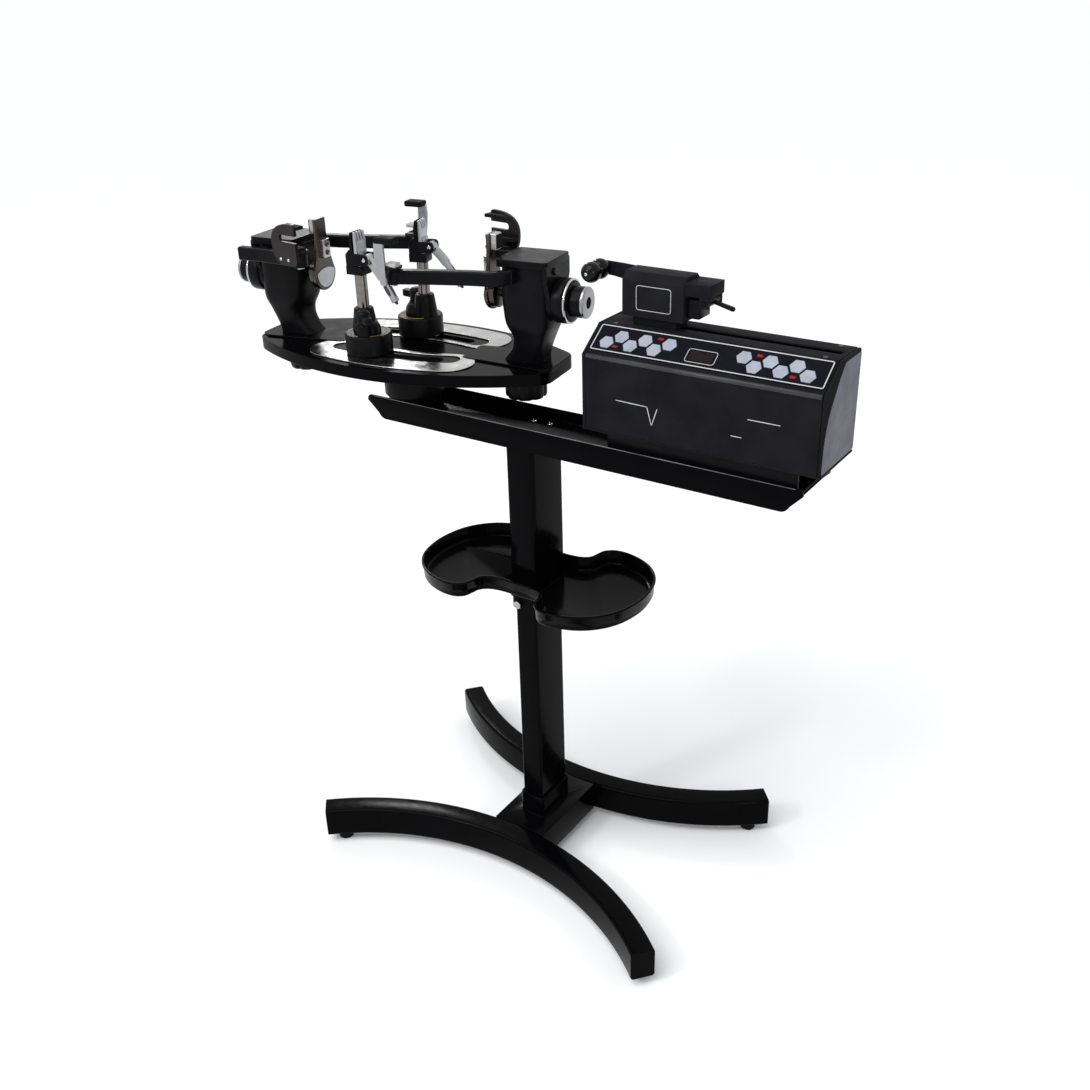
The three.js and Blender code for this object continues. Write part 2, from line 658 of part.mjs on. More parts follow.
// A flat steel loop on both sides of a clamp's slot
function trackStrip(side) {
  const bottom = plateTop + seatGap;
  const halfWidth = (track.outerReach + track.innerReach) / 2;
  const middleReach = slot.reach + (track.outerReach - track.innerReach) / 2;
  return cut(
    pathBand(side, middleReach, track.end - halfWidth, halfWidth, bottom, trackTop, wideSteps),
    pathBand(side, slot.reach, track.grooveHalfLength, track.grooveHalfWidth, bottom - overrun, trackTop + overrun,
      midSteps),
  );
}

// Towers
const towerOuter = plate.halfLength - tower.outerInset;
const towerInner = towerOuter - tower.width;
const towerFoot = blockTop + seatGap;
const towerTop = towerFoot + tower.height;
const bossFace = towerOuter + tower.bossProud;
const knobAxis = towerTop - tower.knobDrop;
const lockReach = towerInner + lockKnob.inset;
const lockKnobBottom = plateBottom - lockKnob.drop - lockKnob.height;
const armTop = towerTop - arm.drop;
const armBottom = armTop - arm.height;
const nearRoot = towerInner + arm.nearInset;
const farRoot = towerInner + arm.farInset;
const mouthCentre = towerTop + frameMouth.lift;
const mouthTop = mouthCentre + frameMouth.halfHeight;
const mouthBottom = mouthCentre - frameMouth.halfHeight;
const supportAxis = towerTop - support.axisDrop;

function towerRing([height, inner, outer, depth]) {
  const low = towerInner + inner * tower.width;
  const high = towerInner + outer * tower.width;
  const power = 2 / tower.sectionPower;
  const points = [];
  for (let i = 0; i < midSteps; i += 1) {
    const angle = 2 * Math.PI * (i + 0.5) / midSteps;
    const x = Math.sign(Math.cos(angle)) * Math.abs(Math.cos(angle)) ** power;
    const y = Math.sign(Math.sin(angle)) * Math.abs(Math.sin(angle)) ** power;
    points.push(new THREE.Vector3(
      (low + high) / 2 + x * (high - low) / 2,
      y * depth * tower.halfDepth,
      towerFoot + height * tower.height,
    ));
  }
  return points;
}

// Sections between the given ones follow a smooth curve
function towerRings() {
  const outline = (k) => new THREE.CatmullRomCurve3(
    towerSectionShares.map((share) => new THREE.Vector3(share[0], share[k], 0)),
  );
  const curves = [1, 2, 3].map(outline);
  const rings = [];
  const count = towerSectionShares.length;
  for (let i = 0; i <= count; i += 1) {
    const at = curves.map((curve) => curve.getPoint(i / count));
    rings.push(towerRing([at[0].x, at[0].y, at[1].y, at[2].y]));
  }
  return rings;
}

// The channel that an arm's root slides in, open only at the arm's own side: -1 near and 1 far
function armChannel(side, rootX) {
  const half = arm.rootHalfWidth + seatGap;
  const back = -side * (arm.rootBack + arm.travelIn + seatGap);
  const front = side * (tower.halfDepth + overrun);
  return block([rootX - half, Math.min(back, front), armBottom - seatGap],
    [rootX + half, Math.max(back, front), armTop + seatGap]);
}

function towerBody() {
  const top = slab(
    roundedRectangle((bossFace - towerInner) / 2, platform.halfDepth, platform.corner, (bossFace + towerInner) / 2),
    towerTop,
    towerTop + platform.thickness,
    platform.edgeRound,
    cornerSteps,
  );
  const cheek = block(
    [bossFace - tower.cheekThickness, -tower.cheekHalfDepth, towerTop - tower.cheekDrop],
    [bossFace, tower.cheekHalfDepth, towerTop + platform.edgeRound],
  );
  const boss = rod(tower.bossRadius, [towerOuter - tower.bossDepth, 0, knobAxis], [bossFace, 0, knobAxis], wideSteps);
  const boltHole = rod(
    tower.boltHoleRadius,
    [bossFace - tower.boltHoleRadius, -tower.boltHoleReach, towerTop - tower.boltHoleDrop],
    [bossFace + overrun, -tower.boltHoleReach, towerTop - tower.boltHoleDrop],
    smallSteps,
  );
  const rodBore = boreTool(
    support.rodRadius,
    [towerInner - overrun, 0, supportAxis],
    [towerInner + support.rodDepth + support.travelOut, 0, supportAxis],
  );
  const stud = rod(lockKnob.studRadius, [lockReach, 0, lockKnobBottom + lockKnob.floor + seatGap],
    [lockReach, 0, towerFoot + lockKnob.studRise]);
  return cut(
    join(loft(towerRings()), top, cheek, boss, stud),
    armChannel(-1, nearRoot),
    armChannel(1, farRoot),
    boltHole,
    rodBore,
  );
}

function lockKnobBody() {
  const bottom = lockKnobBottom;
  const top = bottom + lockKnob.height;
  const collarTop = plateBottom - seatGap;
  const body = turned([
    [0, bottom],
    [lockKnob.radius - lockKnob.edge, bottom],
    [lockKnob.radius, bottom + lockKnob.edge],
    [lockKnob.radius, top - lockKnob.edge],
    [lockKnob.radius - lockKnob.edge, top],
    [lockKnob.collarRadius, top],
    [lockKnob.collarRadius, collarTop],
    [0, collarTop],
  ], wideSteps);
  const bore = boreTool(lockKnob.studRadius, [0, 0, bottom + lockKnob.floor], [0, 0, collarTop + overrun]);
  const fluteReach = lockKnob.radius + lockKnob.fluteRadius * (1 - lockKnob.fluteShare);
  const flutes = [];
  for (let i = 0; i < lockKnob.flutes; i += 1) {
    const angle = 2 * Math.PI * i / lockKnob.flutes;
    const x = fluteReach * Math.cos(angle);
    const y = fluteReach * Math.sin(angle);
    flutes.push(rod(lockKnob.fluteRadius, [x, y, bottom - overrun], [x, y, top + overrun / 2], hexSides));
  }
  return cut(body, bore, ...flutes);
}

const armKnobFace = bossFace + seatGap;
const armKnobEnd = armKnobFace + armKnob.length + armKnob.ringLength;
const supportKnobFace = armKnobEnd + seatGap;

function armKnobBody() {
  const bore = armKnob.boreRadius;
  const waist = armKnobFace + armKnob.length;
  return turnedAlongX([
    [bore, armKnobFace],
    [armKnob.radius - armKnob.edge, armKnobFace],
    [armKnob.radius, armKnobFace + armKnob.edge],
    [armKnob.radius, waist - armKnob.edge],
    [armKnob.radius - armKnob.edge, waist],
    [armKnob.radius, waist + armKnob.edge],
    [armKnob.radius, armKnobEnd - armKnob.edge],
    [armKnob.radius - armKnob.edge, armKnobEnd],
    [bore, armKnobEnd],
    [bore, armKnobFace],
  ], wideSteps).translate(0, 0, knobAxis);
}

function supportKnobBody() {
  const capStart = supportKnobFace + supportKnob.length;
  const end = capStart + supportKnob.capLength;
  const body = turnedAlongX([
    [0, armKnobFace + seatGap],
    [supportKnob.shaftRadius, armKnobFace + seatGap],
    [supportKnob.shaftRadius, supportKnobFace],
    [supportKnob.radius, supportKnobFace],
    [supportKnob.radius, capStart],
    [supportKnob.capRadius, capStart],
    [supportKnob.capRadius, end - supportKnob.edge],
    [supportKnob.capRadius - supportKnob.edge, end],
    [0, end],
  ], wideSteps).translate(0, 0, knobAxis);
  const socketTool = rod(supportKnob.hexRadius, [end - supportKnob.hexDepth, 0, knobAxis],
    [end + overrun, 0, knobAxis], hexSides);
  return cut(body, socketTool);
}

// Supports for the ends of the racket's head
function supportBody() {
  const innerFace = towerInner - support.inset;
  const outerFace = innerFace + support.plateThickness;
  const hookBottom = mouthCentre - support.hookBelow;
  const hookTop = mouthCentre + support.hookAbove;
  const shape = new THREE.Shape();
  shape.absarc(0, supportAxis, support.discRadius, Math.PI, 2 * Math.PI, false);
  shape.quadraticCurveTo(support.neckHalfWidth, supportAxis + support.discRadius,
    support.neckHalfWidth, hookBottom);
  shape.lineTo(support.neckHalfWidth, hookTop);
  shape.lineTo(-support.neckHalfWidth, hookTop);
  shape.lineTo(-support.neckHalfWidth, hookBottom);
  shape.quadraticCurveTo(-support.neckHalfWidth, supportAxis + support.discRadius,
    -support.discRadius, supportAxis);
  const plateBody = slabAlongX(shape, innerFace, outerFace, claw.edgeRound, clawSteps);
  const hook = block(
    [outerFace - claw.edgeRound, -support.neckHalfWidth, hookBottom],
    [outerFace + support.hookLength, support.neckHalfWidth, hookTop],
  );
  const rodEnd = towerInner + support.rodDepth;
  return join(
    plateBody,
    hook,
    rod(support.collarRadius, [outerFace - claw.edgeRound, 0, supportAxis],
      [towerInner - support.collarGap, 0, supportAxis]),
    rod(support.rodRadius, [outerFace, 0, supportAxis], [rodEnd, 0, supportAxis]),
  );
}

// The arm whose claw lies on the given side leaves its tower there; side is -1 near and 1 far
function armBody(side, rootX, bendShares, end) {
  const root = block(
    [rootX - arm.rootHalfWidth, Math.min(-side * arm.rootBack, side * arm.rootOut), armBottom],
    [rootX + arm.rootHalfWidth, Math.max(-side * arm.rootBack, side * arm.rootOut), armTop],
  );
  const bends = bendShares.map(([out, aside]) => [towerInner + out * tower.width, side * aside * tower.halfDepth]);
  const path = [[rootX, side * (arm.rootOut - arm.width / 4)], ...bends, end];
  const strip = slab(ribbonShape(path, arm.width, smallSteps), armBottom, armTop, arm.edgeRound);
  const eye = rod(arm.endRadius, [...end, armBottom], [...end, armTop]);
  return join(root, strip, eye);
}

// The outline of a claw, seen along Y; facing is 1 where its straight edge looks along X and -1 if against it
function clawOutline(size, facing) {
  const bottom = armTop - claw.skirt;
  const top = mouthTop + claw.topRise;
  const front = facing * size.halfLength;
  const shape = new THREE.Shape();
  shape.moveTo(front, (bottom + armTop) / 2);
  shape.lineTo(front, top - claw.lip);
  shape.quadraticCurveTo(front, top, front - facing * claw.lip, top);
  shape.quadraticCurveTo(-front, top, -front, (top + bottom) / 2);
  shape.quadraticCurveTo(-front, bottom, 0, bottom);
  shape.quadraticCurveTo(front, bottom, front, (bottom + armTop) / 2);
  return shape;
}

// A claw in its own frame: X along the racket's frame and Y outwards
function clawBody(size, facing) {
  const shape = clawOutline(size, facing);
  const wide = size.halfLength + overrun;
  const web = slabAlongY(shape, 0, claw.web, claw.edgeRound, clawSteps);
  const lip = (low, high) => common(
    slabAlongY(shape, -frameMouth.depth, claw.web - claw.edgeRound, 0, clawSteps),
    block([-wide, -frameMouth.depth, low], [wide, claw.web, high]),
  );
  const slotHalf = claw.slotHeight / 2;
  const slotEnd = -facing * size.halfLength * size.slotShare;
  const slotTool = join(
    block([slotEnd, -overrun, mouthCentre - slotHalf],
      [facing * wide, claw.web + overrun, mouthCentre + slotHalf]),
    rod(slotHalf, [slotEnd, -overrun, mouthCentre], [slotEnd, claw.web + overrun, mouthCentre], smallSteps),
  );
  const footBottom = armTop + seatGap;
  const half = claw.footHalfWidth;
  const foot = join(
    block([-half, -claw.footReach, footBottom], [half, claw.web / 2, footBottom + claw.footThickness]),
    block([-half, -half, footBottom], [half, claw.web / 2, mouthBottom - claw.lip / 2]),
  );
  return cut(join(web, lip(mouthTop, mouthTop + claw.lip), lip(mouthBottom - claw.lip, mouthBottom), foot), slotTool);
}

// Where an arm ends: under the inner end of its claw's foot
function armEnd(place) {
  const back = claw.footReach - arm.endRadius;
  return [place.x + back * Math.sin(place.turn), place.y - back * Math.cos(place.turn)];
}

function addClaw(parent, name, size, facing, place, look) {
  const holder = new THREE.Group();
  holder.position.set(place.x, place.y, 0);
  holder.rotation.z = place.turn;
  parent.add(holder);
  addPart(holder, name, clawBody(size, facing), look);
}

function addTower(parent, sideName, turn) {
  const group = new THREE.Group();
  group.rotation.z = turn;
  parent.add(group);
  addPart(group, `${sideName}_tower`, towerBody(), looks.satinBlack);
  addPart(group, `${sideName}_arm_knob`, armKnobBody(), looks.satinBlack);
  addPart(group, `${sideName}_support_knob`, supportKnobBody(), looks.satinBlack);
  addPart(group, `${sideName}_head_support`, supportBody(), looks.steel);
  const longPlace = { x: longClaw.reach, y: -longClaw.side, turn: Math.PI };
  const longArm = armBody(-1, nearRoot, longArmBendShares, armEnd(longPlace));
  addPart(group, `${sideName}_long_arm`, longArm, looks.satinBlack);
  addClaw(group, `${sideName}_long_claw`, longClaw, 1, longPlace, looks.steel);
  const shortPlace = { x: shortClawReach[sideName], y: shortClaw.side, turn: -shortClaw.turn };
  const shortArm = armBody(1, farRoot, shortArmBendShares, armEnd(shortPlace));
  addPart(group, `${sideName}_short_arm`, shortArm, looks.satinBlack);
  addClaw(group, `${sideName}_short_claw`, shortClaw, -1, shortPlace, looks.darkSteel);
  const knobGroup = new THREE.Group();
  knobGroup.position.set(lockReach, 0, 0);
  group.add(knobGroup);
  addPart(knobGroup, `${sideName}_lock_knob`, lockKnobBody(), looks.satinBlack);
}

// String clamps, each drawn with its foot at height zero
function clampBaseBody() {
  const size = clampBase;
  const disc = turned([
    [0, 0],
    [size.radius - size.edge, 0],
    [size.radius, size.edge],
    [size.radius, size.height - size.edge],
    [size.radius - size.edge, size.height],
    [0, size.height],
  ], wideSteps);
  const ring = (share, height) => {
    const points = [];
    for (let i = 0; i < midSteps; i += 1) {
      const angle = 2 * Math.PI * i / midSteps;
      points.push(new THREE.Vector3(
        size.bodyHalfLength * share * Math.cos(angle),
        size.bodyRadius * share * Math.sin(angle),
        height,
      ));
    }
    return points;
  };
  const body = loft([
    ring(1, size.height - size.edge),
    ring(1, size.height + size.bodyHeight / 2),
    ring(size.bodyTopShare, size.height + size.bodyHeight),
  ]);
  const post0 = [size.postOffset, 0];
  const socketBody = rod(size.bodyRadius, [...post0, size.height - size.edge], [...post0, size.socketHeight],
    midSteps, size.socketRadius);
  const boss = rod(size.bossRadius, [size.bossX, size.bossY, size.height - size.edge],
    [size.bossX, size.bossY, size.bossHeight]);
  const bore = boreTool(post.radius, [...post0, size.boreFloor], [...post0, size.socketHeight + overrun]);
  const pinBore = boreTool(lockLever.pinRadius, [size.bossX, size.bossY, size.height],
    [size.bossX, size.bossY, size.bossHeight + overrun], smallSteps);
  const shoeTop = plateTop - plate.floor - trackTop - 2 * seatGap;
  const stud = rod(size.studRadius, [0, 0, shoeTop - size.shoeThickness / 2], [0, 0, size.edge]);
  const shoe = rod(size.shoeRadius, [0, 0, shoeTop - size.shoeThickness], [0, 0, shoeTop]);
  return cut(join(disc, body, socketBody, boss, stud, shoe), bore, pinBore);
}

function lockLeverBody() {
  const size = lockLever;
  const foot = clampBase.bossHeight + seatGap;
  const hub = turned([
    [0, foot],
    [size.hubRadius, foot],
    [size.hubRadius, foot + size.hubHeight - size.hubRadius / 2],
    [size.hubRadius * size.shoulderShare, foot + size.hubHeight - size.hubRadius / 5],
    [size.hubRadius / 2, foot + size.hubHeight],
    [0, foot + size.hubHeight],
  ]);
  const handle = slab(
    roundedRectangle(size.armLength / 2, size.armWidth / 2, size.armWidth / 3, -size.armLength / 2),
    foot + size.armRise,
    foot + size.armRise + size.armHeight,
    claw.edgeRound,
    cornerSteps,
  );
  const pin = rod(size.pinRadius, [0, 0, clampBase.height + 2 * seatGap], [0, 0, foot + size.armRise], smallSteps);
  return join(hub, handle, pin);
}

function postBody() {
  return turned([
    [0, post.foot],
    [post.radius, post.foot],
    [post.radius, post.top],
    [post.spigotRadius, post.top],
    [post.spigotRadius, post.top + post.spigotHeight],
    [0, post.top + post.spigotHeight],
  ]);
}

const headFoot = post.top + seatGap;
const jawTop = headFoot + head.height + jaw.rise;

// Grooves that leave teeth along the top of a jaw
function toothGrooves(left, right) {
  const width = 2 * head.halfWidth;
  const pitch = width / jaw.teeth;
  const grooves = [];
  for (let i = 1; i < jaw.teeth; i += 1) {
    const middle = -head.halfWidth + i * pitch;
    grooves.push(block([left - overrun, middle - jaw.toothGap / 2, jawTop - jaw.toothDepth],
      [right + overrun, middle + jaw.toothGap / 2, jawTop + overrun]));
  }
  return grooves;
}

// The outline of a jaw blade, seen along Y: broad below and thin at the teeth
function jawBlade(sign) {
  const foot = headFoot + head.height - head.footHeight;
  return slabAlongY(polygon([
    [sign * jaw.gap, foot],
    [sign * (jaw.gap + jaw.thickness), foot],
    [sign * (jaw.gap + jaw.thickness), jawTop - jaw.toothDepth],
    [sign * (jaw.gap + jaw.thickness / 2), jawTop],
    [sign * jaw.gap, jawTop],
  ]), -head.halfWidth, head.halfWidth);
}

function headBody() {
  const jawBack = -jaw.gap;
  const foot = block([-head.back, -head.halfWidth, headFoot], [head.front, head.halfWidth, headFoot + head.footHeight]);
  const back = slabAlongY(polygon([
    [-head.back, headFoot + head.footHeight / 2],
    [jawBack, headFoot + head.footHeight / 2],
    [jawBack, headFoot + head.height],
    [-head.back * head.crownShare, headFoot + head.height],
    [-head.back, headFoot + head.height * head.browShare],
  ]), -head.halfWidth, head.halfWidth, claw.edgeRound);
  const ears = [-1, 1].map((side) => {
    const inner = side * (head.halfWidth - head.earThickness);
    const outer = side * head.halfWidth;
    return slabAlongY(
      roundedRectangle((head.earReach + head.back / 2) / 2, (head.earTop - head.earBottom) / 2, head.footHeight / 2,
        (head.earReach - head.back / 2) / 2, headFoot + (head.earTop + head.earBottom) / 2),
      Math.min(inner, outer),
      Math.max(inner, outer),
      0,
      cornerSteps,
    );
  });
  const pivotZ = headFoot + clampLever.pivotRise;
  const pinHole = boreTool(clampLever.pinRadius, [clampLever.pivotX, -head.halfWidth - overrun, pivotZ],
    [clampLever.pivotX, head.halfWidth + overrun, pivotZ], smallSteps);
  const bore = boreTool(post.spigotRadius, [0, 0, headFoot - overrun],
    [0, 0, post.top + post.spigotHeight + seatGap]);
  return cut(join(foot, back, ...ears, jawBlade(-1)), pinHole, bore, ...toothGrooves(-head.back, -jaw.gap));
}

function movingJawBody() {
  const halfWidth = head.halfWidth - head.earThickness - seatGap;
  const bottom = headFoot + head.footHeight + seatGap;
  const body = block([jaw.gap, -halfWidth, bottom], [jaw.bodyReach, halfWidth, headFoot + head.height]);
  const blade = common(
    jawBlade(1),
    block([0, -head.halfWidth, headFoot + head.earTop + seatGap], [head.earReach, head.halfWidth, jawTop + overrun]),
  );
  return cut(join(body, blade), ...toothGrooves(jaw.gap, jaw.bodyReach));
}

function clampLeverBody() {
  const pivotZ = headFoot + clampLever.pivotRise;
  const halfWidth = head.halfWidth - head.earThickness - seatGap;
  const path = clampLeverShares.map(([out, down]) => [
    clampLever.pivotX + out * clampLever.reach,
    pivotZ - down * clampLever.drop,
  ]);
  const tip = path[path.length - 1];
  return join(
    rod(clampLever.hubRadius, [clampLever.pivotX, -halfWidth, pivotZ], [clampLever.pivotX, halfWidth, pivotZ]),
    rod(clampLever.pinRadius, [clampLever.pivotX, -head.halfWidth, pivotZ],
      [clampLever.pivotX, head.halfWidth, pivotZ], smallSteps),
    slabAlongY(ribbonShape(path, clampLever.width, smallSteps), -clampLever.halfWidth, clampLever.halfWidth,
      claw.edgeRound),
    rod(clampLever.gripRadius, [tip[0], -clampLever.halfWidth, tip[1]], [tip[0], clampLever.halfWidth, tip[1]]),
  );
}

const slotRadius = plateArcCentre + slot.reach;

function clampTurn({ side, reach }) {
  return -side * Math.asin(reach / slotRadius);
}

function addClamp(parent, sideName) {
  const place = clampPlaces[sideName];
  const runner = new THREE.Group();
  runner.position.set(0, -place.side * plateArcCentre, 0);
  runner.rotation.z = clampTurn(place);
  parent.add(runner);
  const stand = new THREE.Group();
  stand.position.set(0, place.side * slotRadius, trackTop + seatGap);
  stand.rotation.z = place.baseTurn;
  runner.add(stand);
  addPart(stand, `${sideName}_clamp_base`, clampBaseBody(), looks.satinBlack);
  const leverGroup = new THREE.Group();
  leverGroup.position.set(clampBase.bossX, clampBase.bossY, 0);
  stand.add(leverGroup);
  addPart(leverGroup, `${sideName}_clamp_lock_lever`, lockLeverBody(), looks.satinBlack);
  const postGroup = new THREE.Group();
  postGroup.position.set(clampBase.postOffset, 0, 0);
  postGroup.rotation.z = place.headTurn - place.baseTurn - runner.rotation.z;
  stand.add(postGroup);
  addPart(postGroup, `${sideName}_clamp_post`, postBody(), looks.steel);
  addPart(postGroup, `${sideName}_clamp_head`, headBody(), looks.satinBlack);
  addPart(postGroup, `${sideName}_clamp_jaw`, movingJawBody(), looks.castSilver);
  addPart(postGroup, `${sideName}_clamp_lever`, clampLeverBody(), looks.castSilver);
}

// Tension unit
const boxBase = beam.top + box.lift;
const boxFrontTop = boxBase + box.frontHeight;
const boxTop = boxBase + box.height;
const boxLength = box.right - box.left;
const slopeLength = Math.hypot(box.slopeDepth, boxTop - boxFrontTop);
const slopeAngle = Math.atan2(boxTop - boxFrontTop, box.slopeDepth);
const screwZ = boxTop - screw.drop;
const motorRight = box.right - motor.inset;
const motorLeft = motorRight - motor.length;
const inletX = box.right - inlet.inset;
const inletZ = boxBase + inlet.rise;
const rockerX = box.right - rocker.inset;
const carriageLeft = box.left + carriage.inset;
const carriageRight = carriageLeft + carriage.length;
const carriageBottom = boxTop + carriage.lift;
const carriageTop = carriageBottom + carriage.height;
const rollerX = carriageLeft - roller.reach;
const rollerZ = carriageTop - roller.drop;
const upperJawLeft = carriageRight - upperJaw.overlap;
const upperJawRight = upperJawLeft + upperJaw.length;
const upperJawTop = carriageTop - upperJaw.drop;
const upperJawBottom = upperJawTop - upperJaw.height;
const leverX = upperJawRight - jawLever.inset;
const leverZ = upperJawBottom - jawLever.clearance - jawLever.hubRadius;

function boxOutline(inset) {
  const front = -box.halfDepth + inset;
  const back = box.halfDepth - inset;
  const drop = inset * Math.tan(slopeAngle / 2);
  return polygon([
    [front, boxBase + seatGap], [back, boxBase + seatGap], [back, boxTop - inset],
    [-box.halfDepth + box.slopeDepth + drop, boxTop - inset], [front, boxFrontTop - drop],
  ]);
}

function plinthBody() {
  const top = boxBase - box.basePlate;
  const foot = beam.webTop + seatGap;
  const left = box.left + plinth.leftInset;
  const right = box.right - plinth.rightInset;
  const tube = cut(
    block([left, -plinth.halfDepth, foot], [right, plinth.halfDepth, top + box.basePlate / 2]),
    block([left - overrun, -plinth.halfDepth + plinth.wall, foot + plinth.wall],
      [right + overrun, plinth.halfDepth - plinth.wall, top]),
  );
  return join(tube, block([box.left, -box.halfDepth, top], [box.right, box.halfDepth, boxBase]));
}

// The opening in the back wall for the power inlet and its switch, widened by a gap
const inletLeft = rockerX - rocker.halfWidth - inlet.shell;
const inletRight = inletX + inlet.halfWidth;

function inletBlock(front, back, grow) {
  return block([inletLeft - grow, front, inletZ - inlet.halfHeight - grow],
    [inletRight + grow, back, inletZ + inlet.halfHeight + grow]);
}

function housingBody() {
  const left = box.left + box.cheek + seatGap;
  const right = box.right - box.cheek - seatGap;
  const shell = cut(
    slabAlongX(boxOutline(0), left, right),
    slabAlongX(boxOutline(box.wall), left - overrun, right + overrun),
    block([left - overrun, -box.halfDepth + box.wall, boxBase - overrun],
      [right + overrun, box.halfDepth - box.wall, boxBase + box.cheek]),
  );
  const ridge = rod(box.ridge / 2, [left, -box.halfDepth + box.ridge / 3, boxFrontTop - box.ridge / 3],
    [right, -box.halfDepth + box.ridge / 3, boxFrontTop - box.ridge / 3], smallSteps);
  return cut(
    join(shell, ridge),
    block([box.left + guideSlot.leftInset, guideSlot.y - guideSlot.halfWidth, boxTop - overrun],
      [box.right - guideSlot.rightInset, guideSlot.y + guideSlot.halfWidth, boxTop + overrun]),
    inletBlock(box.halfDepth - overrun, box.halfDepth + overrun, seatGap),
  );
}

function cheekBody(left) {
  return slabAlongX(boxOutline(0), left, left + box.cheek, claw.edgeRound);
}

// The left cheek also carries the end of the drive screw
function leftCheekBody() {
  const inner = box.left + box.cheek;
  const seat = boreTool(screw.radius, [inner - screw.bearingDepth - seatGap, guideSlot.y, screwZ],
    [inner + overrun, guideSlot.y, screwZ]);
  return cut(cheekBody(box.left), seat);
}

function screwBody() {
  return asSolid(rod(screw.radius, [box.left + box.cheek - screw.bearingDepth, guideSlot.y, screwZ],
    [motorLeft + motor.bore - seatGap, guideSlot.y, screwZ]));
}

function motorBody() {
  const { y } = guideSlot;
  const can = slabAlongX(roundedRectangle(motor.half, motor.half, motor.edgeRound, y, screwZ), motorLeft,
    motorRight, 0, cornerSteps);
  const foot = block([motorLeft + motor.footInset, y - motor.footHalfDepth, boxBase + seatGap],
    [motorRight - motor.footInset, y + motor.footHalfDepth, screwZ]);
  const bore = boreTool(screw.radius, [motorLeft - overrun, y, screwZ], [motorLeft + motor.bore, y, screwZ]);
  return cut(join(can, foot), bore);
}

// The inlet and its switch share one frame, seated in the back wall
function inletBody() {
  const back = box.halfDepth;
  const front = back - inlet.body;
  const rim = back + seatGap + inlet.flange;
  const inner = inlet.halfWidth - inlet.shell;
  const innerHeight = inlet.halfHeight - inlet.shell;
  const cavity = block([inletX - inner, front + inlet.shell, inletZ - innerHeight],
    [inletX + inner, rim + overrun, inletZ + innerHeight]);
  const blades = [[-1, -1], [0, 1], [1, -1]].map(([across, up]) => block(
    [inletX + across * inlet.bladeStep - inlet.bladeHalfWidth, front,
      inletZ + up * inlet.bladeDrop - inlet.bladeHalfHeight],
    [inletX + across * inlet.bladeStep + inlet.bladeHalfWidth, back - inlet.shell,
      inletZ + up * inlet.bladeDrop + inlet.bladeHalfHeight],
  ));
  const recess = block([rockerX - rocker.halfWidth, back - rocker.depth - inlet.shell, inletZ - rocker.halfHeight],
    [rockerX + rocker.halfWidth, rim + overrun, inletZ + rocker.halfHeight]);
  const pinReach = rocker.halfWidth + rocker.pinReach;
  const pivot = boreTool(rocker.pinRadius, [rockerX - pinReach, back - rocker.pivotDepth, inletZ],
    [rockerX + pinReach, back - rocker.pivotDepth, inletZ], smallSteps);
  const shell = join(inletBlock(front, rim - inlet.flange / 2, 0), inletBlock(back + seatGap, rim, inlet.flangeWidth));
  return join(cut(shell, cavity, recess, pivot), ...blades);
}

// The rocker is drawn square, then tipped about its pin to one end of its travel
function rockerBody() {
  const width = rocker.halfWidth - seatGap;
  const pinReach = rocker.halfWidth + rocker.pinReach - seatGap;
  const rise = rocker.pivotDepth + rocker.proud;
  const half = (rocker.halfHeight - seatGap - rise * Math.sin(rocker.tilt)) / Math.cos(rocker.tilt);
  const floor = rocker.pivotDepth - rocker.depth / 2;
  const shape = polygon([[floor, -half / 2], [rise, -half], [rise - rocker.valley, 0], [rise, half], [floor, half / 2]]);
  const key = slabAlongX(shape, -width, width);
  const pin = rod(rocker.pinRadius, [-pinReach, 0, 0], [pinReach, 0, 0], smallSteps);
  return asSolid(geometryFrom(join(key, pin)).rotateX(rocker.tilt)
    .translate(rockerX, box.halfDepth - rocker.pivotDepth, inletZ));
}

// Forms on the slanted face are drawn flat, then tilted: X along the box, Y up the slope, Z outwards
function onSlope(form) {
  return form
    .rotateX(slopeAngle)
    .translate(box.left, -box.halfDepth, boxFrontTop);
}

const panelStart = box.ridge + panel.sideMargin;
const panelHeight = slopeLength - panelStart - panel.sideMargin;
const panelMiddle = panelStart + panelHeight / 2;

// Keys in a zigzag: a row counts upwards from the middle line, a column along the box
function keyPlaces() {
  return keyGroups.flatMap(({ startShare, rows }) => rows.map((row, i) => [
    (startShare + i * key.columnStepShare) * boxLength,
    panelMiddle + row * key.rowStep,
  ]));
}

function displayBlock(bottom, top, grow) {
  const centre = display.centreShare * boxLength;
  return block(
    [centre - display.halfLength - grow, panelMiddle - display.halfHeight - grow, bottom],
    [centre + display.halfLength + grow, panelMiddle + display.halfHeight + grow, top],
  );
}

function panelBody() {
  const length = boxLength - 2 * panel.margin;
  const face = seatGap + panel.thickness;
  const sheet = block([panel.margin, panelStart, seatGap], [panel.margin + length, panelStart + panelHeight, face]);
  const keys = keyPlaces().map(([x, y]) => rod(key.radius, [x, y, seatGap], [x, y, face + key.height], hexSides));
  const whole = cut(join(sheet, ...keys), displayBlock(-overrun, face + overrun, seatGap));
  return asSolid(onSlope(geometryFrom(whole)));
}

function displayBody() {
  return asSolid(onSlope(displayBlock(seatGap, seatGap + display.thickness, 0)));
}

